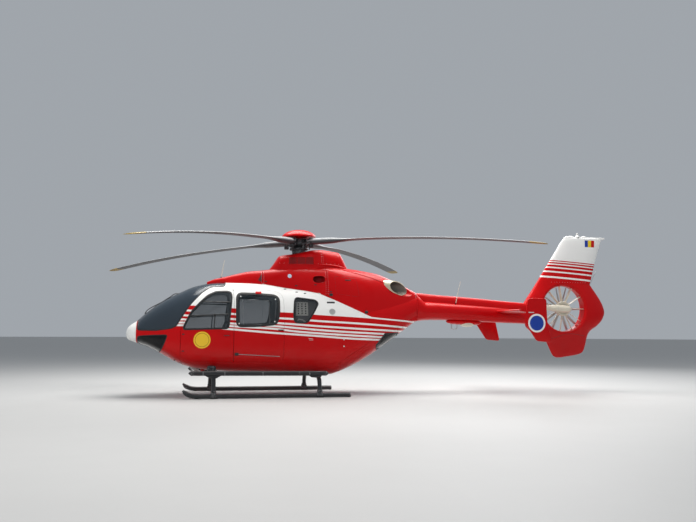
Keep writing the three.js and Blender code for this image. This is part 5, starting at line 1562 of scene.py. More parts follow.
def makeDoorFittings():
    fitted("frontDoorHandle", [(pull, hullSide, 1.915, 1.178), (latch, hullSide, (1.1, 1.1), (0.88, 1.2))], "black",
           body="front_door")
    fitted("sideFittings", [(block(0.052, 0.011, -0.004, 0.016, 0.005), hullSide, 2.96, 1.286),
                            (block(0.04, 0.028, -0.004, 0.01, 0.006), hullSide, 2.11, 0.822),
                            (latch, hullSide, (3.298, 3.464, 3.07), (2.045, 2.02, 2.105))], "black")
    fitted("doorStop", [(block(0.058, 0.03, -0.006, 0.014, 0.008), hullSide, 2.532, 2.018)], "red")
    fitted("paleFittings", [(whiteDot, hullSide, *zip(*fittings["whiteDots"])),
                            (block(0.04, 0.004, -0.003, 0.004, 0.003, 3), hullSide, (3.545, 3.56), (1.122, 1.096)),
                            (block(0.022, 0.018, -0.004, 0.012, 0.006), hullSide, 3.762, 2.022),
                            (whiteDot, hullSide, (2.182, 2.862, 2.838, 2.15), (1.94, 1.891, 1.452, 1.409))],
           "lampWhite")
    x, z, radius = fittings["stationPort"]
    port = lathe([(0, -0.002), (radius, -0.002), (radius, 0.004), (radius - 0.005, 0.006), (radius - 0.008, 0.003),
                  (0.01, 0.003), (0.009, 0.008), (0, 0.008)], sides=40)
    slot = joined(block(0.08, 0.018, -0.004, 0.004, 0.006),
                  *[roundedBox((-0.07, h - 0.002, 0.003), (0.07, h + 0.002, 0.007), 0.0016, 3)
                    for h in (-0.009, 0, 0.009)])
    fitted("servicePorts", [(slot, hullSide, 3.971, 1.842)], "hub")
    fitted("stationPort", [(port, hullSide, x, z)], "alloy")
    bothSides("doorRail", alongSide(hullSide, fittings["rail"], 0.007), "steel")
    sliding = roundedOutline(fittings["paneFrame"], 0.03)
    ring = hullSheet(lambda p: 0.005 - np.abs(outlineDepth(sliding, p[..., 0], p[..., 2])), (2.15, 2.8))
    for piece in bothSides("paneFrame", ring, "cabinetGrey", closed=False):
        thicken(piece, 0.008, 0.2)
    for name, level, stations, body in (
            ("slidingWindowBorder", "slidingWindow", (2.05, 3.0), "airframe"),
            ("frontWindowBorder", "frontWindow", (1.05, 2.1), "front_door"),
            ("rearSideBorder", "rearWindow", (3.15, 3.8), "airframe")):
        wide = 0.052 if level == "slidingWindow" else 0.022
        border = hullSheet(lambda p: np.minimum(depthOf(level)(p), wide - depthOf(level)(p)), stations, inset=0.0105)
        for piece in bothSides(name, border, "black", body=body, closed=False):
            thicken(piece, 0.002)


def makeCowlFittings():
    rows = [(screw, cowlSkin, np.full(13, x), np.linspace(low, high, 13)) for x, low, high in fittings["fastenerRows"]]
    fitted("cowlScrews", rows, "steel")
    fitted("cowlLatches", [(latch, cowlSkin, (3.679, 3.981, 2.7, 3.3, 4.332), (2.201, 2.06, 2.26, 2.18, 2.299)),
                           (block(0.034, 0.026, -0.006, 0.022, 0.01), cowlSkin, (3.985, 4.704), (2.0, 1.655)),
                           (block(0.06, 0.012, -0.004, 0.003, 0.003, 3), cowlSkin, 4.332, 2.299)],
           "black")
    bothSides("cowlGutter", alongSide(cowlSkin, fittings["gutter"], 0.0075, 0.001, 120), "red")
    door = roundedOutline(fittings["engineDoor"], 0.05)
    ring = hoodSheet(cowl, lambda p: 0.0022 - np.abs(outlineDepth(door, p[..., 0], p[..., 2])), (4.0, 4.62), 0.006,
                     (0.5, 1.0))
    for piece in bothSides("engineDoorLine", ring, "black", closed=False):
        thicken(piece, 0.0016, 0.8)
    # louvre on the mast fairing: a frame, a dark mesh behind and slats across it
    low, high = louvre["low"], louvre["high"]
    corners = [(low[0], low[1]), (high[0], low[1]), (high[0], high[1]), (low[0] + 0.01, high[1] - 0.01)]
    smooth = roundedOutline(corners, 0.02)
    sheet = hoodSheet(mastFairing, lambda p: outlineDepth(smooth, p[..., 0], p[..., 2]),
                      (low[0] - 0.05, high[0] + 0.05), 0.008, (0.5, 1.0))
    bothSides("louvreMesh", (sheet[0] + (0, -0.001, 0), sheet[1]), "mesh", closed=False)
    bars = [alongSide(fairingSkin, [(low[0] + 0.004, z), ((low[0] + high[0]) / 2, z), (high[0] - 0.004, z)], 0.0035,
                      0.005, 30, 8)
            for z in np.linspace(low[1] + 0.02, high[1] - 0.02, louvre["slats"])]
    bars += [alongSide(fairingSkin, [(x, low[1] + 0.004), (x, high[1] - 0.006)], 0.005, 0.004, 12, 8)
             for x in np.linspace(low[0], high[0], 4)[1:-1]]
    bars.append(alongSide(fairingSkin, np.vstack([corners, corners[:1]]), 0.0085, 0.002, 120))
    bothSides("louvreFrame", joined(*bars), "red")
    flange = [(3.8, 2.622), (3.95, 2.618), (4.15, 2.598), (4.33, 2.562)]
    parts = [alongSide(fairingSkin, flange, 0.022, 0.002, 40, 16),
             alongSide(fairingSkin, [(3.852, 2.64), (3.852, 2.86)], 0.0028, 0)]
    bothSides("fairingFlange", joined(*parts), "red")
    fitted("fairingScrews", [(screw, fairingSkin, np.linspace(2.98, 4.2, 15), np.full(15, 2.645)),
                             (screw, fairingSkin, np.full(5, 3.835), np.linspace(2.68, 2.84, 5)),
                             (screw, fairingSkin, np.full(5, 3.87), np.linspace(2.68, 2.84, 5))],
           "steel")
    # a dark mesh sheet laid on the skin ahead of the gearbox cowling: painted shade for the recessed vent there
    vent = roundedOutline([(2.545, 2.285), (2.622, 2.43), (2.622, 2.25)], 0.012)
    level = lambda p: outlineDepth(vent, p[..., 0], p[..., 2])
    sheet = hoodSheet(cowl, level, (2.5, 2.638), 0.006, (0.5, 1.0))
    bothSides("ventPaintedShade", (sheet[0] + (0, -0.001, 0), sheet[1]), "mesh", closed=False)


louvre = {"low": (3.16, 2.622), "high": (3.676, 2.786), "slats": 7}

# Aerials, lamps, the wire cutter and what else stands on the skin
aerials = {"roof": [(1.825, 0, 2.32), (1.84, 0, 2.43), (1.886, 0, 2.7)],
    "boom": [(6.786, -0.118, 1.845), (6.85, -0.1, 2.1), (6.916, -0.09, 2.35)],
    "cutter": [(0.352, 0, 1.598), (0.372, 0, 1.646), (0.42, 0, 1.692), (0.665, 0, 1.832), (0.806, 0, 1.924),
        (0.948, 0, 2.006), (1.0, 0, 2.004), (1.012, 0, 1.99)], "pod": (6.61, 7.4, 1.492, 0.108, 0.056),
    "loop": (6.733, 6.859, 1.329, 1.452), "dome": (7.087, 0.169, 0.105, 0.068)}


def makeAerials():
    black = [roundBar(aerials["cutter"], np.concatenate([[0.012] * 3, np.full(54, 0.008), [0.012] * 3]), 12, 60,
                      up=(0, 1, 0))]
    pale = []
    for x, z in ((0.54, 1.742), (0.74, 1.862)):
        black.append(roundBar([(x, 0, z + 0.018), (x + 0.012, 0, z - 0.012)], 0.008, 10, up=(0, 1, 0)))
    for path, foot, axis in (("roof", 0.03, (0, 0, 1)), ("boom", 0.02, (0, -0.35, 1))):
        start = np.array(aerials[path][0])
        pale.append(roundBar(aerials[path], np.linspace(0.0085, 0.0045, 30), 10, 30, up=(0, 1, 0)))
        black.append(lathe([(0, -0.004), (foot, -0.004), (foot, 0.008), (foot * 0.5, 0.026), (0.008, 0.045),
                            (0, 0.046)], start, axis, 28))
    added("wireCutter", joined(*black), "black")
    added("whipAerials", joined(*pale), "cream")

    first, last, z, wide, deep = aerials["pod"]
    share, turn = np.meshgrid(np.linspace(0, 1, 60), fullTurn(48), indexing="ij")
    size = np.sqrt(np.clip(1 - (2 * share - 1) ** 4, 0, 1))
    x = first + share * (last - first)
    pod = np.stack([x, wide * size * np.cos(turn), z - 0.028 * share + deep * size * np.sin(turn)], -1)
    added("boomPod", capped(pod), "red")
    first, last, low, high = aerials["loop"]
    loop = [(first, high + 0.01), (first, low), (last, low), (last, high + 0.01), (last, high), (first, high)]
    loop = [(x, 0, z) for x, z in roundedOutline(loop[1:3] + loop[4:], 0.012, 4)]
    shape = joined(roundBar(loop + loop[:1], 0.0075, 12, up=(0, 1, 0)),
                   roundedBox((first - 0.008, -0.02, high - 0.006), (last + 0.008, 0.02, high + 0.02), 0.006))
    added("loopAerial", shape, "alloy")
    x, half, wide, deep = aerials["dome"]
    dome = lathe([(0, 0.25), (1.0, 0.25)] + [(r, -h) for r, h in domeProfile], sides=64)
    dome = (dome[0] * (half, wide, deep) + (x, 0, 1.44), dome[1])
    added("boomDome", dome, "cream")

    beacon = lathe([(0, 0.0), (0.024, 0.003), (0.042, 0.018), (0.047, 0.04), (0.047, 0.085), (0, 0.085)],
                   (1.49, 0, 0.452), sides=40)
    added("bellyBeacon", beacon, "red")
    lamp = lathe([(0, 0), (0.07, 0.004), (0.086, 0.018), (0.088, 0.07), (0.07, 0.095), (0, 0.1)], (1.306, 0, 0.488),
                 (0.62, 0, 0.78), 48)
    arm = roundedBox((1.3, -0.03, 0.52), (1.4, 0.03, 0.59), 0.012)
    added("landingLamp", joined(lamp, arm), "lampWhite")
    glass = lathe([(0, -0.004), (0.036, -0.003), (0.064, 0.003), (0.064, 0.008), (0, 0.008)], (1.304, 0, 0.485),
                  (0.62, 0, 0.78), 40)
    added("landingLampGlass", glass, "lens")
    bar = roundedBox((7.89, -endPlate["to"] - 0.01, 1.655), (8.01, -endPlate["to"] + 0.002, 1.673), 0.004)
    bothSides("endPlateLamp", bar, "lampWhite")
    rod = roundBar([(10.018, 0, 2.352), (10.09, 0, 2.48), (10.182, 0, 2.655)], 0.0045, 10, 20, up=(0, 1, 0))
    added("staticRod", rod, "steel")
    bothSides("finSeam", alongSide(finSide, [(9.012, 1.13), (9.42, 1.24), (9.8, 1.195)], 0.0028, 0.0, 60, 8), "black")
    fitted("finScrews", [(screw, finSide, np.linspace(9.03, 9.86, 14), np.full(14, 2.372))], "steel")


# Gear fittings: gussets under each step, a bracket where the front tube leaves the hull, wear shoes under the skids
gearFittings = {"gussets": [[(1.49, 0.446), (1.862, 0.444), (1.79, 0.41), (1.735, 0.375), (1.62, 0.375), (1.56, 0.4)],
        [(3.472, 0.43), (3.742, 0.428), (3.735, 0.385), (3.64, 0.372), (3.546, 0.38)]], "shoes": [(1.3, 1.62),
        (1.76, 3.63), (3.77, 4.24)]}


def makeGearFittings():
    plates = [sidePlate(roundedOutline(outline, 0.01), -0.944, -0.93, 0.004) for outline in gearFittings["gussets"]]
    plates.append(roundedBox((1.56, -0.722, 0.452), (1.728, -0.64, 0.6), 0.028))
    for x in (1.3, 1.48, 1.88, 2.6, 3.3, 3.5):
        plates.append(lathe([(0.0395, -0.012), (0.044, -0.01), (0.044, 0.01), (0.0395, 0.012)], (x, -gear["stepSide"],
                            np.interp(x, *zip(*gear["step"])) - 0.002), (1, 0, 0), 28, closed=True))
    bothSides("gearBrackets", joined(*plates), "gear")
    shoes = []
    for first, last in gearFittings["shoes"]:
        turn, x = np.meshgrid(np.linspace(-0.75 * np.pi, -0.25 * np.pi, 10), np.linspace(first, last, 60))
        z = np.interp(x, (1.29, 1.43, 4.3), (0.056, 0.043, 0.043)) + 0.0465 * np.sin(turn)
        shoes.append(gridShape(np.stack([x, -gear["spacing"] + 0.0465 * np.cos(turn), np.maximum(z, 0.0005)], -1)))
    for piece in bothSides("skidShoe", joined(*shoes), "steel", closed=False):
        thicken(piece, 0.002)


# Rotor head: a clamp star above and below the cuffs, a damper stack on each arm, pitch horns and the cap's posts
def makeRotorHead():
    turn = fullTurn(240)
    reach = 0.172 + 0.118 * np.abs(np.cos(2 * turn)) ** 5
    outline = np.stack([reach * np.cos(turn - rotor["first"]), reach * np.sin(turn - rotor["first"])], -1)
    parts, pale = [], []
    for low, high in ((0.046, 0.064), (-0.066, -0.046)):
        points, faces = sidePlate(outline, low, high, 0.004)
        parts.append(repeated(flipped((points[:, [0, 2, 1]], faces)), [hubPlace], [rotorTurn]))
    stack = lathe([(0, -0.13), (0.034, -0.13), (0.048, -0.126), (0.05, -0.118), (0.046, -0.112), (0.05, -0.106),
                   (0.05, -0.094),
                   (0.046, -0.09), (0.05, -0.084), (0.05, -0.064), (0.03, -0.058), (0.03, 0.046), (0.048, 0.052),
                   (0.05, 0.072), (0.042, 0.082), (0, 0.084)], sides=32)
    ring = lathe([(0.0785, -0.164), (0.176, -0.164), (0.188, -0.158), (0.192, -0.15), (0.192, -0.128), (0.186, -0.12),
                  (0.15, -0.114), (0.12, -0.092), (0.0785, -0.086)], hubPlace, mastAxis, 72, closed=True)
    parts.append(ring)
    parts.append(lathe([(0.0785, -0.118), (0.15, -0.118), (0.144, -0.17), (0.1415, -0.232), (0.0785, -0.232)], hubPlace,
                       mastAxis, 72, closed=True))
    horn = joined(roundedBox((0.195, 0.05, -0.062), (0.33, 0.15, -0.022), 0.016),
                  roundedBox((0.17, 0.12, -0.072), (0.245, 0.182, -0.038), 0.014))
    bolt = lathe([(0, -0.074), (0.012, -0.074), (0.012, 0.074), (0.006, 0.078), (0, 0.078)], sides=10)
    for k in range(4):
        arm = rotorFrame(rotor["first"] + k * np.pi / 2)
        centre = hubPlace + arm @ np.array([0.292, 0, 0])
        parts.append(repeated(stack, [centre], [arm]))
        parts.append(repeated(horn, [hubPlace], [arm]))
        parts.append(roundBar([hubPlace + arm @ np.array(end) for end in ((0.176, 0.15, -0.14), (0.2, 0.152, -0.048))],
                              0.012, 14, up=(0, 1, 0)))
        for across in (-0.045, 0.045):
            pale.append(repeated(bolt, [hubPlace + arm @ np.array([0.215, across, 0])], [arm]))
    added("rotorHead", joined(*parts), "hub", body="main_rotor")
    added("rotorHeadBolts", joined(*pale), "steel", body="main_rotor")


makeDoorFittings()
makeCowlFittings()
makeAerials()
makeGearFittings()
makeRotorHead()
print("fittings made")


# Padded pieces: size along, across and through; where it is sewn across and along; how far it may swell
padding = {"voxel": (0.0075, 0.01), "pressure": 4.0, "frames": 20, "piping": 0.0042, "seamDeep": 0.007,
    "seamWide": 0.007,
    "kinds": {"seatCushion": ((0.365, 0.296, 0.074), (-0.06, 0.06), (-0.105, 0.105), 0.008, "seat"),
        "seatBack": ((0.4, 0.284, 0.066), (-0.1, 0.0, 0.1), (-0.1, 0.1), 0.008, "seat"),
        "headrest": ((0.11, 0.205, 0.046), (), (), 0.006, "seat"),
        "cabinCushion": ((0.315, 0.312, 0.066), (0.03,), (-0.11, 0.11), 0.008, "seat"),
        "cabinBack": ((0.41, 0.3, 0.038), (-0.07, 0.07), (), 0.006, "seat"),
        "mattress": ((1.67, 0.318, 0.062), (-0.42, 0.0, 0.42), (), 0.006, "vinyl")}}
padShapes = {}


def pillowRing(size, turn, share=1.0):
    # a rounded oblong whose four sides draw in between its corners
    reach = arcReach(turn, 7.0) * (1 - 0.018 * np.cos(2 * turn) ** 2) * share
    return np.stack([size[0] / 2 * np.cos(turn) * reach, size[1] / 2 * np.sin(turn) * reach, 0 * turn], -1)


def pillow(size):
    # rings from the rim in to each middle, the height rising with a power of the way in
    turn = np.linspace(0, 2 * np.pi, 97)[:-1]
    way = np.sin(np.linspace(0.04, 0.5, 18) * np.pi)
    share = np.concatenate([way, way[-2::-1]])
    rise = (1 - share ** 7) ** 0.42 * (0.86 + 0.14 * (1 - share ** 2)) * np.repeat([-1, 1], [18, 17]) * size[2] / 2
    rings = np.stack([pillowRing(size, turn, s) for s in share])
    rings[..., 2] = rise[:, None]
    return capped(rings)


def swollen(shape, cap, voxel):
    # remeshed and pressed outward as cloth; no point ends further than the cap from where it began
    scene = bpy.context.scene
    work = placed("padWork", meshOf("padWork", shape))
    remesh = work.modifiers.new("remesh", "REMESH")
    remesh.mode, remesh.voxel_size = "VOXEL", voxel
    work.data = bpy.data.meshes.new_from_object(work.evaluated_get(bpy.context.evaluated_depsgraph_get()))
    work.modifiers.clear()
    cloth = work.modifiers.new("cloth", "CLOTH").settings
    cloth.use_pressure, cloth.uniform_pressure_force = True, padding["pressure"]
    cloth.effector_weights.gravity = 0
    before = np.empty(len(work.data.vertices) * 3)
    after, corners = before.copy(), np.empty(len(work.data.loops), int)
    work.data.vertices.foreach_get("co", before)
    work.data.loops.foreach_get("vertex_index", corners)
    for step in range(1, padding["frames"] + 1):
        scene.frame_set(step)
    work.evaluated_get(bpy.context.evaluated_depsgraph_get()).data.vertices.foreach_get("co", after)
    scene.frame_set(1)
    bpy.data.objects.remove(work)
    before, moved = before.reshape(-1, 3), (after - before).reshape(-1, 3)
    far = np.linalg.norm(moved, axis=1, keepdims=True)
    return before + moved * np.minimum(1, cap / np.maximum(far, 1e-9)), [corners.reshape(-1, 4)]


def sewn(points, across, along):
    # grooves pulled into the upper face where it is sewn down
    groove = np.zeros(len(points))
    for axis, places in ((0, across), (1, along)):
        for place in places:
            groove = np.maximum(groove, np.exp(-((points[:, axis] - place) / padding["seamWide"]) ** 2))
    return points - np.outer(padding["seamDeep"] * groove * (points[:, 2] > 0), (0, 0, 1))


def upFrame(along, across=(0, 1, 0)):  # columns: along, across and out
    along = unit(along)
    return np.stack([along, across, np.cross(along, across)], -1)


def makePad(name, kind, place, turned):
    size, across, along, cap, material = padding["kinds"][kind]
    if kind not in padShapes:
        points, faces = swollen(pillow(size), cap, padding["voxel"][size[0] > 1])    # coarser on the long mattress
        padShapes[kind] = sewn(points, across, along), faces
    piece = makePiece(name, repeated(padShapes[kind], [place], [turned]), finish[material], sharp=70)
    smooth = piece.modifiers.new("smooth", "SUBSURF")
    smooth.levels = smooth.render_levels = 1
    return piece


def piping(kind, place, turned):
    # a cord round the pad's rim, laid a little inside it
    turn = np.linspace(0, 2 * np.pi, 73)
    size = np.array(padding["kinds"][kind][0]) + 0.002
    return roundBar(pillowRing(size, turn) @ turned.T + place, padding["piping"], 8, up=turned[:, 2])


def strap(points, wide, thick=0.0016, up=(0, 0, 1), count=24):
    # flat webbing along a path, its broad face turned to the up direction
    side, half = wide / 2, thick / 2
    profile = np.array([(-side, -half), (side, -half), (side, half), (-side, half)])
    return sweep(smoothPath(points, count), profile, up)


def plateAlong(outline, low, high, edge, steps=3):
    # an outline in y and height given thickness along the stations
    points, faces = sidePlate(outline, low, high, edge, steps)
    return flipped((points[:, [1, 0, 2]], faces))


# Pilots' seats; the slope is the way up the back
pilotSeat = {"side": 0.275, "cushion": (1.665, 0.948), "back": (1.924, 1.222), "headrest": (1.972, 1.498),
    "slope": (0.105, 0, 1.0),
    "shell": [(1.965, 0.885), (1.985, 0.93), (2.034, 1.4), (2.028, 1.552), (2.004, 1.556), (2.008, 1.41),
        (1.958, 0.972), (1.94, 0.915), (1.5, 0.9), (1.478, 0.925), (1.474, 0.895), (1.5, 0.88)]}
cabinSeat = {"sides": (0.03, 0.38), "cushion": (2.638, 0.946), "back": (2.868, 1.235), "slope": (0.165, 0, 1.0),
    "shell": [(2.895, 0.905), (2.957, 1.455), (2.92, 1.478), (2.9, 1.47), (2.862, 0.94), (2.48, 0.912), (2.465, 0.93),
        (2.462, 0.905), (2.484, 0.898)]}
couch = {"side": -0.375, "low": 0.601, "top": 0.744, "ends": (2.3, 4.05), "half": 0.183, "pad": (3.175, 0.788)}


def makePilotSeats():
    for name, sign in (("left", -1), ("right", 1)):
        middle = sign * pilotSeat["side"]
        parts, trim = [sidePlate(roundedOutline(pilotSeat["shell"], 0.02), middle - 0.152, middle + 0.152, 0.01)], []
        for y in (middle - 0.12, middle + 0.12):
            parts.append(roundedBox((1.505, y - 0.018, 0.601), (1.955, y + 0.018, 0.632), 0.006))
            for foot, head in ((1.56, 1.53), (1.9, 1.93)):
                parts.append(roundBar([(foot, y, 0.625), (head, y, 0.89)], 0.013, 12))
            parts.append(roundBar([(1.54, y, 0.86), (1.91, y, 0.66)], 0.009, 10))
        added(f"seatShell_{name}", joined(*parts), "panel", f"pilot_seat_{name}")
        for kind, (x, z), along in (("seatCushion", pilotSeat["cushion"], (1, 0, 0.02)),
                                    ("seatBack", pilotSeat["back"], pilotSeat["slope"]),
                                    ("headrest", pilotSeat["headrest"], (0.06, 0, 1.0))):
            turned = upFrame(along, (0, 1, 0) if kind == "seatCushion" else (0, -1, 0))
            turned[:, 2] *= np.sign(turned[2, 2]) if kind == "seatCushion" else -np.sign(turned[0, 2])
            turned[:, 1] = np.cross(turned[:, 2], turned[:, 0])
            makePad(f"{kind}_{name}", kind, (x, middle, z), turned)
            trim.append(piping(kind, (x, middle, z), turned))
        for dy in (-0.065, 0.065):
            trim.append(strap([(1.995, middle + dy * 0.5, 1.555), (1.95, middle + dy * 0.6, 1.45),
                               (1.898, middle + dy, 1.33), (1.865, middle + dy * 1.1, 1.12),
                               (1.835, middle + dy * 0.9, 1.01), (1.76, middle + dy * 0.3, 0.994)], 0.044,
                               up=(0, 1, 0)))
            trim.append(strap([(1.87, middle + 2.1 * dy, 0.93), (1.835, middle + 1.9 * dy, 0.996),
                               (1.76, middle + dy * 0.5, 0.999)], 0.044, up=(0, 0, 1)))
        trim.append(lathe([(0, 0), (0.03, 0), (0.033, 0.004), (0.033, 0.01), (0.026, 0.016), (0, 0.017)],
                          (1.755, middle, 0.996), (0, 0, 1), 32))
        added(f"seatTrim_{name}", joined(*trim), "webbing")


def makeCabinSeats():
    parts, trim = [], []
    for k, middle in enumerate(cabinSeat["sides"]):
        parts.append(sidePlate(roundedOutline(cabinSeat["shell"], 0.012), middle - 0.165, middle + 0.165, 0.008))
        for y in (middle - 0.13, middle + 0.13):
            parts.append(roundBar([(2.53, y, 0.604), (2.55, y, 0.905)], 0.012, 12))
            parts.append(roundBar([(2.86, y, 0.604), (2.84, y, 0.915)], 0.012, 12))
            parts.append(roundBar([(2.53, y, 0.62), (2.86, y, 0.62)], 0.01, 10))
        for kind, (x, z), along, sign in (("cabinCushion", cabinSeat["cushion"], (1, 0, 0.02), 1),
                                          ("cabinBack", cabinSeat["back"], cabinSeat["slope"], -1)):
            turned = upFrame(along, (0, sign, 0))
            turned[:, 2] = np.cross(turned[:, 0], turned[:, 1])
            makePad(f"{kind}_{k + 1}", kind, (x, middle, z), turned)
            trim.append(piping(kind, (x, middle, z), turned))
        for dy in (-0.06, 0.06):
            trim.append(strap([(2.915, middle + dy * 0.6, 1.478), (2.88, middle + dy * 0.7, 1.43),
                               (2.838, middle + dy, 1.2), (2.8, middle + dy, 1.01),
                               (2.72, middle + dy * 0.3, 0.986)], 0.04, up=(0, 1, 0)))
        trim.append(roundedBox((2.69, middle - 0.03, 0.982), (2.74, middle + 0.03, 0.998), 0.006))
    added("cabinSeatFrame", joined(*parts), "panel", "cabin_seats")
    added("cabinSeatTrim", joined(*trim), "webbing")


def makeStretcher():
    y, half, (first, last), top = couch["side"], couch["half"], couch["ends"], couch["top"]
    parts = [roundedBox((first, y - half, couch["low"]), (last, y + half, couch["low"] + 0.05), 0.012),
             roundedBox((first + 0.02, y - half + 0.015, top - 0.022), (last - 0.02, y + half - 0.015, top - 0.002),
                        0.008)]
    for side in (y - half + 0.012, y + half - 0.012):
        parts.append(roundBar([(first + 0.01, side, top - 0.012), (last - 0.01, side, top - 0.012)], 0.011, 14))
        for x in np.linspace(first + 0.18, last - 0.18, 4):
            parts.append(roundBar([(x - 0.05, side, couch["low"] + 0.04), (x + 0.05, side, top - 0.014)], 0.01, 10))
    added("stretcherFrame", joined(*parts), "alloy", "stretcher")
    x, z = couch["pad"]
    makePad("stretcherPad", "mattress", (x, y, z), np.eye(3))
    belts = [piping("mattress", (x, y, z), np.eye(3))]
    for station in (2.66, 3.17, 3.7):
        belts.append(strap([(station, y - 0.176, 0.73), (station, y - 0.172, 0.79), (station, y - 0.14, 0.8265),
                            (station, y, 0.8285), (station, y + 0.14, 0.8265), (station, y + 0.172, 0.79),
                            (station, y + 0.176, 0.73)], 0.05, up=(1, 0, 0), count=40))
        belts.append(roundedBox((station - 0.03, y - 0.028, 0.8255), (station + 0.03, y + 0.028, 0.8295), 0.0018, 3))
    added("stretcherBelts", joined(*belts), "webbing")


# Equipment: y and height of each side's body, then the pale panel seen behind the port rear window
cabinet = {"stations": (3.256, 3.694),
    "left": [(-0.605, 1.256), (-0.6, 1.56), (-0.52, 1.88), (-0.405, 1.893), (-0.405, 1.256)],
    "right": [(0.305, 0.602), (0.305, 1.893), (0.5, 1.88), (0.6, 1.6), (0.6, 0.7), (0.56, 0.602)],
    "panel": {"x": (3.272, 3.522), "low": (-0.607, 1.575), "high": (-0.54, 1.842)}}


def makeCabinet():
    first, last = cabinet["stations"]
    bodies = [plateAlong(roundedOutline(cabinet[side], 0.03), first, last, 0.012) for side in ("left", "right")]
    bodies.append(roundBar([(3.45, -0.41, 1.35), (3.45, 0.31, 1.35)], 0.04, 24))
    for z in (0.9, 1.2, 1.55):
        bodies.append(roundedBox((3.24, 0.33, z - 0.004), (3.262, 0.57, z + 0.004), 0.003, 3))
        bodies.append(roundBar([(3.244, 0.4, z + 0.05), (3.236, 0.42, z + 0.05), (3.236, 0.48, z + 0.05),
                                (3.244, 0.5, z + 0.05)], 0.006, 10))
    added("equipmentBody", joined(*bodies), "cabinetGrey", "equipment_cabinet")
    panel = cabinet["panel"]
    low, high = np.array(panel["low"]), np.array(panel["high"])
    outward = unit(np.array([-(high - low)[1], (high - low)[0]]))
    corners = [low + 0.012 * outward, high + 0.012 * outward, high - 0.004 * outward, low - 0.004 * outward]
    added("equipmentPanel", plateAlong(corners, *panel["x"], 0.004), "cabinet")
    share, along = np.meshgrid(np.linspace(0.16, 0.86, 5), np.linspace(3.325, 3.47, 3), indexing="ij")
    middle = low + share.reshape(-1, 1) * (high - low) + 0.0115 * outward
    places = np.stack([along.reshape(-1), middle[:, 0], middle[:, 1]], -1)
    knob = lathe([(0, 0), (0.014, 0), (0.014, 0.006), (0.01, 0.009), (0, 0.009)], (0, 0, 0), (0, *outward), 20)
    added("equipmentSwitches", repeated(knob, places), "panel")
    hose = smoothPath([(3.3, -0.585, 1.47), (3.34, -0.6, 1.5), (3.4, -0.605, 1.49), (3.46, -0.605, 1.45),
                       (3.5, -0.59, 1.4)], 40)
    bottle = lathe([(0, -0.14), (0.035, -0.135), (0.052, -0.11), (0.052, 0.1), (0.04, 0.125), (0.018, 0.14),
                    (0.018, 0.16), (0, 0.16)], (3.6, -0.56, 1.42), (0, 0, 1), 40)
    added("equipmentBottle", joined(roundBar(hose, 0.016, 14), bottle), "lampWhite")


# Instrument panel, controls and their places
controls = {"console": [(0.945, 0.728), (1.128, 0.65), (1.128, 0.9), (1.02, 1.178), (0.9, 1.236), (0.8, 1.22),
        (0.806, 1.1), (0.905, 0.95)],
    "hood": [(0.782, 1.236), (0.8, 1.246), (0.9, 1.259), (1.03, 1.19), (1.036, 1.199), (0.905, 1.268), (0.795, 1.256),
        (0.776, 1.246)], "screens": ((-0.205, 0.15), (0.0, 0.13), (0.205, 0.15)),
    "dials": (-0.245, -0.175, -0.06, 0.06, 0.175, 0.245), "low": (1.116, 0.93), "high": (1.024, 1.168)}


def onPanel(share, y, out=0.0):
    # a place on the sloping face that looks aft, by the share of the way up it
    low, high = np.array(controls["low"]), np.array(controls["high"])
    outward = unit(np.array([(high - low)[1], -(high - low)[0]]))
    place = low + np.asarray(share)[..., None] * (high - low) + np.asarray(out)[..., None] * outward
    return np.stack([place[..., 0], y + 0 * place[..., 0], place[..., 1]], -1)


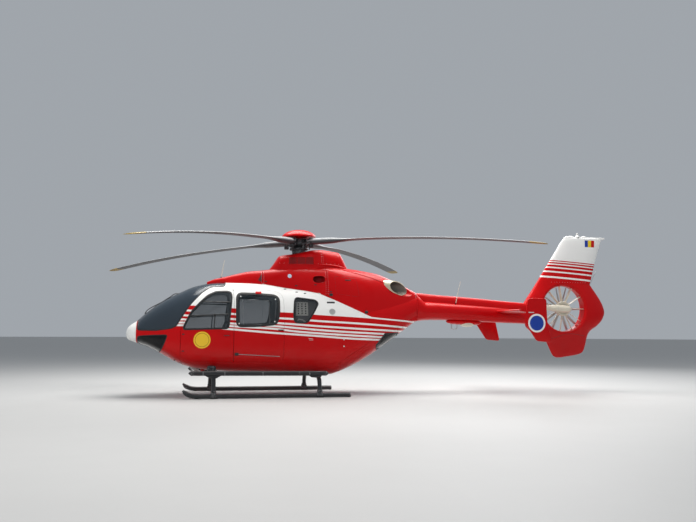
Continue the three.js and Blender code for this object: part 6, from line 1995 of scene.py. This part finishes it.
def makeControls():
    body = sidePlate(roundedOutline(controls["console"], 0.03), -0.29, 0.29, 0.018)
    hood = sidePlate(roundedOutline(controls["hood"], 0.006, 3), -0.298, 0.298, 0.004)
    tunnel = [roundedBox((1.135, -0.09, 0.602), (1.88, 0.09, 0.8), 0.02),
              roundedBox((1.16, -0.078, 0.79), (1.7, 0.078, 0.822), 0.01)]
    added("instrumentConsole", joined(body, hood, *tunnel), "panel", "instrument_panel")
    frameOf = np.stack([unit(onPanel(1.0, 0) - onPanel(0.0, 0)), (0, 1.0, 0)], -1)
    frameOf = np.column_stack([frameOf, np.cross(frameOf[:, 0], frameOf[:, 1])])
    bezels, screens, rings = [], [], []
    for y, wide in controls["screens"]:
        place = onPanel(0.6, y, 0.002)
        half = wide / 2
        bezels += repeated(roundedBox((-0.078, -half - 0.012, -0.006), (0.078, half + 0.012, 0.01), 0.005), [place],
                           [frameOf]),
        screens += repeated(roundedBox((-0.066, -half, 0.004), (0.066, half, 0.0125), 0.002), [place], [frameOf]),
    for y in controls["dials"]:
        rings += lathe([(0, 0), (0.026, 0), (0.026, 0.008), (0.021, 0.008), (0.021, 0.004), (0, 0.004)],
                       onPanel(0.12, y, 0.001), frameOf[:, 2], 36),
    for k in range(14):
        rings += lathe([(0, 0), (0.007, 0), (0.006, 0.012), (0, 0.013)], (1.2 + 0.033 * k, (-1) ** k * 0.045, 0.822),
                       (0, 0, 1), 14),
    added("screenFrames", joined(*bezels, *rings), "black")
    added("screens", joined(*screens), "screen")
    parts = []
    for sign in (-1, 1):
        y = sign * pilotSeat["side"]
        parts += [roundBar([(1.4, y, 0.602), (1.36, y, 0.68), (1.29, y, 0.82), (1.3, y, 0.95), (1.335, y, 1.01)],
                           0.012, 16, 40),
                  roundBar([(1.326, y, 0.985), (1.342, y, 1.05), (1.33, y, 1.105)],
                           np.array([0.017, 0.021, 0.014]), 16),
                  roundBar([(1.86, y - 0.195, 0.64), (1.64, y - 0.195, 0.8), (1.56, y - 0.195, 0.87)], 0.013, 16, 20),
                  roundBar([(1.59, y - 0.195, 0.848), (1.49, y - 0.195, 0.905)], 0.021, 16),
                  lathe([(0.012, 0), (0.05, 0), (0.046, 0.014), (0.016, 0.05), (0.012, 0.05)], (1.4, y, 0.601),
                        (0, 0, 1), 32)]
        for dy in (-0.085, 0.085):
            parts += [roundBar([(1.08, y + dy, 0.64), (0.96, y + dy, 0.7)], 0.01, 12),
                      roundedBox((0.935, y + dy - 0.045, 0.685), (0.95, y + dy + 0.045, 0.765), 0.006)]
    added("flightControls", joined(*parts), "panel")


# Machinery under the cowls: radius and distance along each turbine
engine = {"axis": (3.972, 4.89), "side": 0.238, "height": 2.25,
    "profile": [(0, 0), (0.06, 0), (0.06, 0.045), (0.1, 0.055), (0.118, 0.08), (0.118, 0.18), (0.092, 0.2),
        (0.092, 0.27), (0.128, 0.29), (0.128, 0.33), (0.104, 0.345), (0.104, 0.52), (0.132, 0.54), (0.132, 0.56),
        (0.118, 0.58), (0.126, 0.72), (0.138, 0.735), (0.138, 0.76), (0.12, 0.775), (0.105, 0.9), (0.09, 0.915),
        (0.085, 0.88), (0, 0.86)]}


def makeMachinery():
    first, z = engine["axis"][0], engine["height"]
    bolt = lathe([(0, 0), (0.006, 0), (0.006, 0.012), (0, 0.012)], (0, 0, 0), (1, 0, 0), 6)
    for name, sign in (("left", -1), ("right", 1)):
        y = sign * engine["side"]
        parts = [lathe(engine["profile"], (first, y, z), (1, 0, 0), 64)]
        for along, radius, count in ((0.292, 0.122, 20), (0.542, 0.127, 24), (0.737, 0.132, 24)):
            turn = np.arange(count) * 2 * np.pi / count
            parts.append(repeated(bolt, np.stack([first + along - 0.009 + 0 * turn, y + radius * np.cos(turn),
                                                  z + radius * np.sin(turn)], -1)))
        for turn in (0.6, 1.5, 2.4, 3.6, 5.3):
            bend = [(first + a, y + r * math.cos(turn + t), z + r * math.sin(turn + t))
                    for a, r, t in ((0.13, 0.11, 0), (0.2, 0.14, 0.1), (0.4, 0.142, 0.3), (0.6, 0.143, 0.3),
                                    (0.74, 0.132, 0.5))]
            parts.append(roundBar(bend, 0.007, 10, 40))
        parts.append(roundedBox((first + 0.03, y - 0.075, z - 0.15), (first + 0.26, y + 0.075, z - 0.095), 0.014))
        added(f"turbine_{name}", joined(*parts), "casting", f"engine_{name}")
    foot = hubPlace + mastAxis * -0.88
    case = lathe([(0, 0), (0.155, 0), (0.168, 0.012), (0.168, 0.05), (0.15, 0.062), (0.146, 0.18), (0.166, 0.19),
                  (0.166, 0.214), (0.14, 0.225), (0.12, 0.3), (0.098, 0.36), (0.11, 0.366), (0.11, 0.384),
                  (0.085, 0.39), (0, 0.39)], foot, mastAxis, 72)
    parts = [case]
    for turn in np.arange(18) * np.pi / 9:
        flat = np.array([math.cos(turn), math.sin(turn), 0])
        parts.append(roundBar([foot + 0.146 * flat + 0.065 * mastAxis, foot + 0.144 * flat + 0.185 * mastAxis], 0.006,
                              8, up=flat))
    for sign in (-1, 1):
        parts.append(lathe([(0, 0), (0.05, 0), (0.062, 0.02), (0.062, 0.07), (0.04, 0.09), (0, 0.09)],
                           (3.56, sign * 0.095, 2.29), (1, 0, 0), 32))
        parts.append(roundBar([(3.25, sign * 0.15, 2.252), (3.33, sign * 0.115, 2.42)], 0.014, 14))
    added("rotorGearbox", joined(*parts), "casting", "main_gearbox")


makePilotSeats()
makeCabinSeats()
makeStretcher()
print("seats and stretcher made")
makeCabinet()
makeControls()
makeMachinery()
frame["nodes"]["cabin_floor"].data.materials.clear()
frame["nodes"]["cabin_floor"].data.materials.append(finish["floor"])
print("cabin fittings and machinery made")


# Studio floor
def makeFloor():
    turn = fullTurn(96)
    radius = np.geomspace(0.5, studio["floorRadius"], 24)
    rings = np.stack([radius[:, None] * np.cos(turn), radius[:, None] * np.sin(turn), np.zeros((24, 96))], -1)
    material, tree, shader, where = startMaterial("studioFloor")
    shade = grained(tree, where, 25.0, 0.04)[1]
    tree.links.new(mixColour(tree, 1.0, rgba((0.47, 0.47, 0.465)), shade, "MULTIPLY"), shader.inputs["Base Color"])
    shader.inputs["Roughness"].default_value = 0.6
    mesh = meshOf("studioFloor", gridShape(rings, wrap=True, capStart=True))
    mesh.materials.append(material)
    placed("studioFloor", mesh)


makeFloor()
print("floor made")
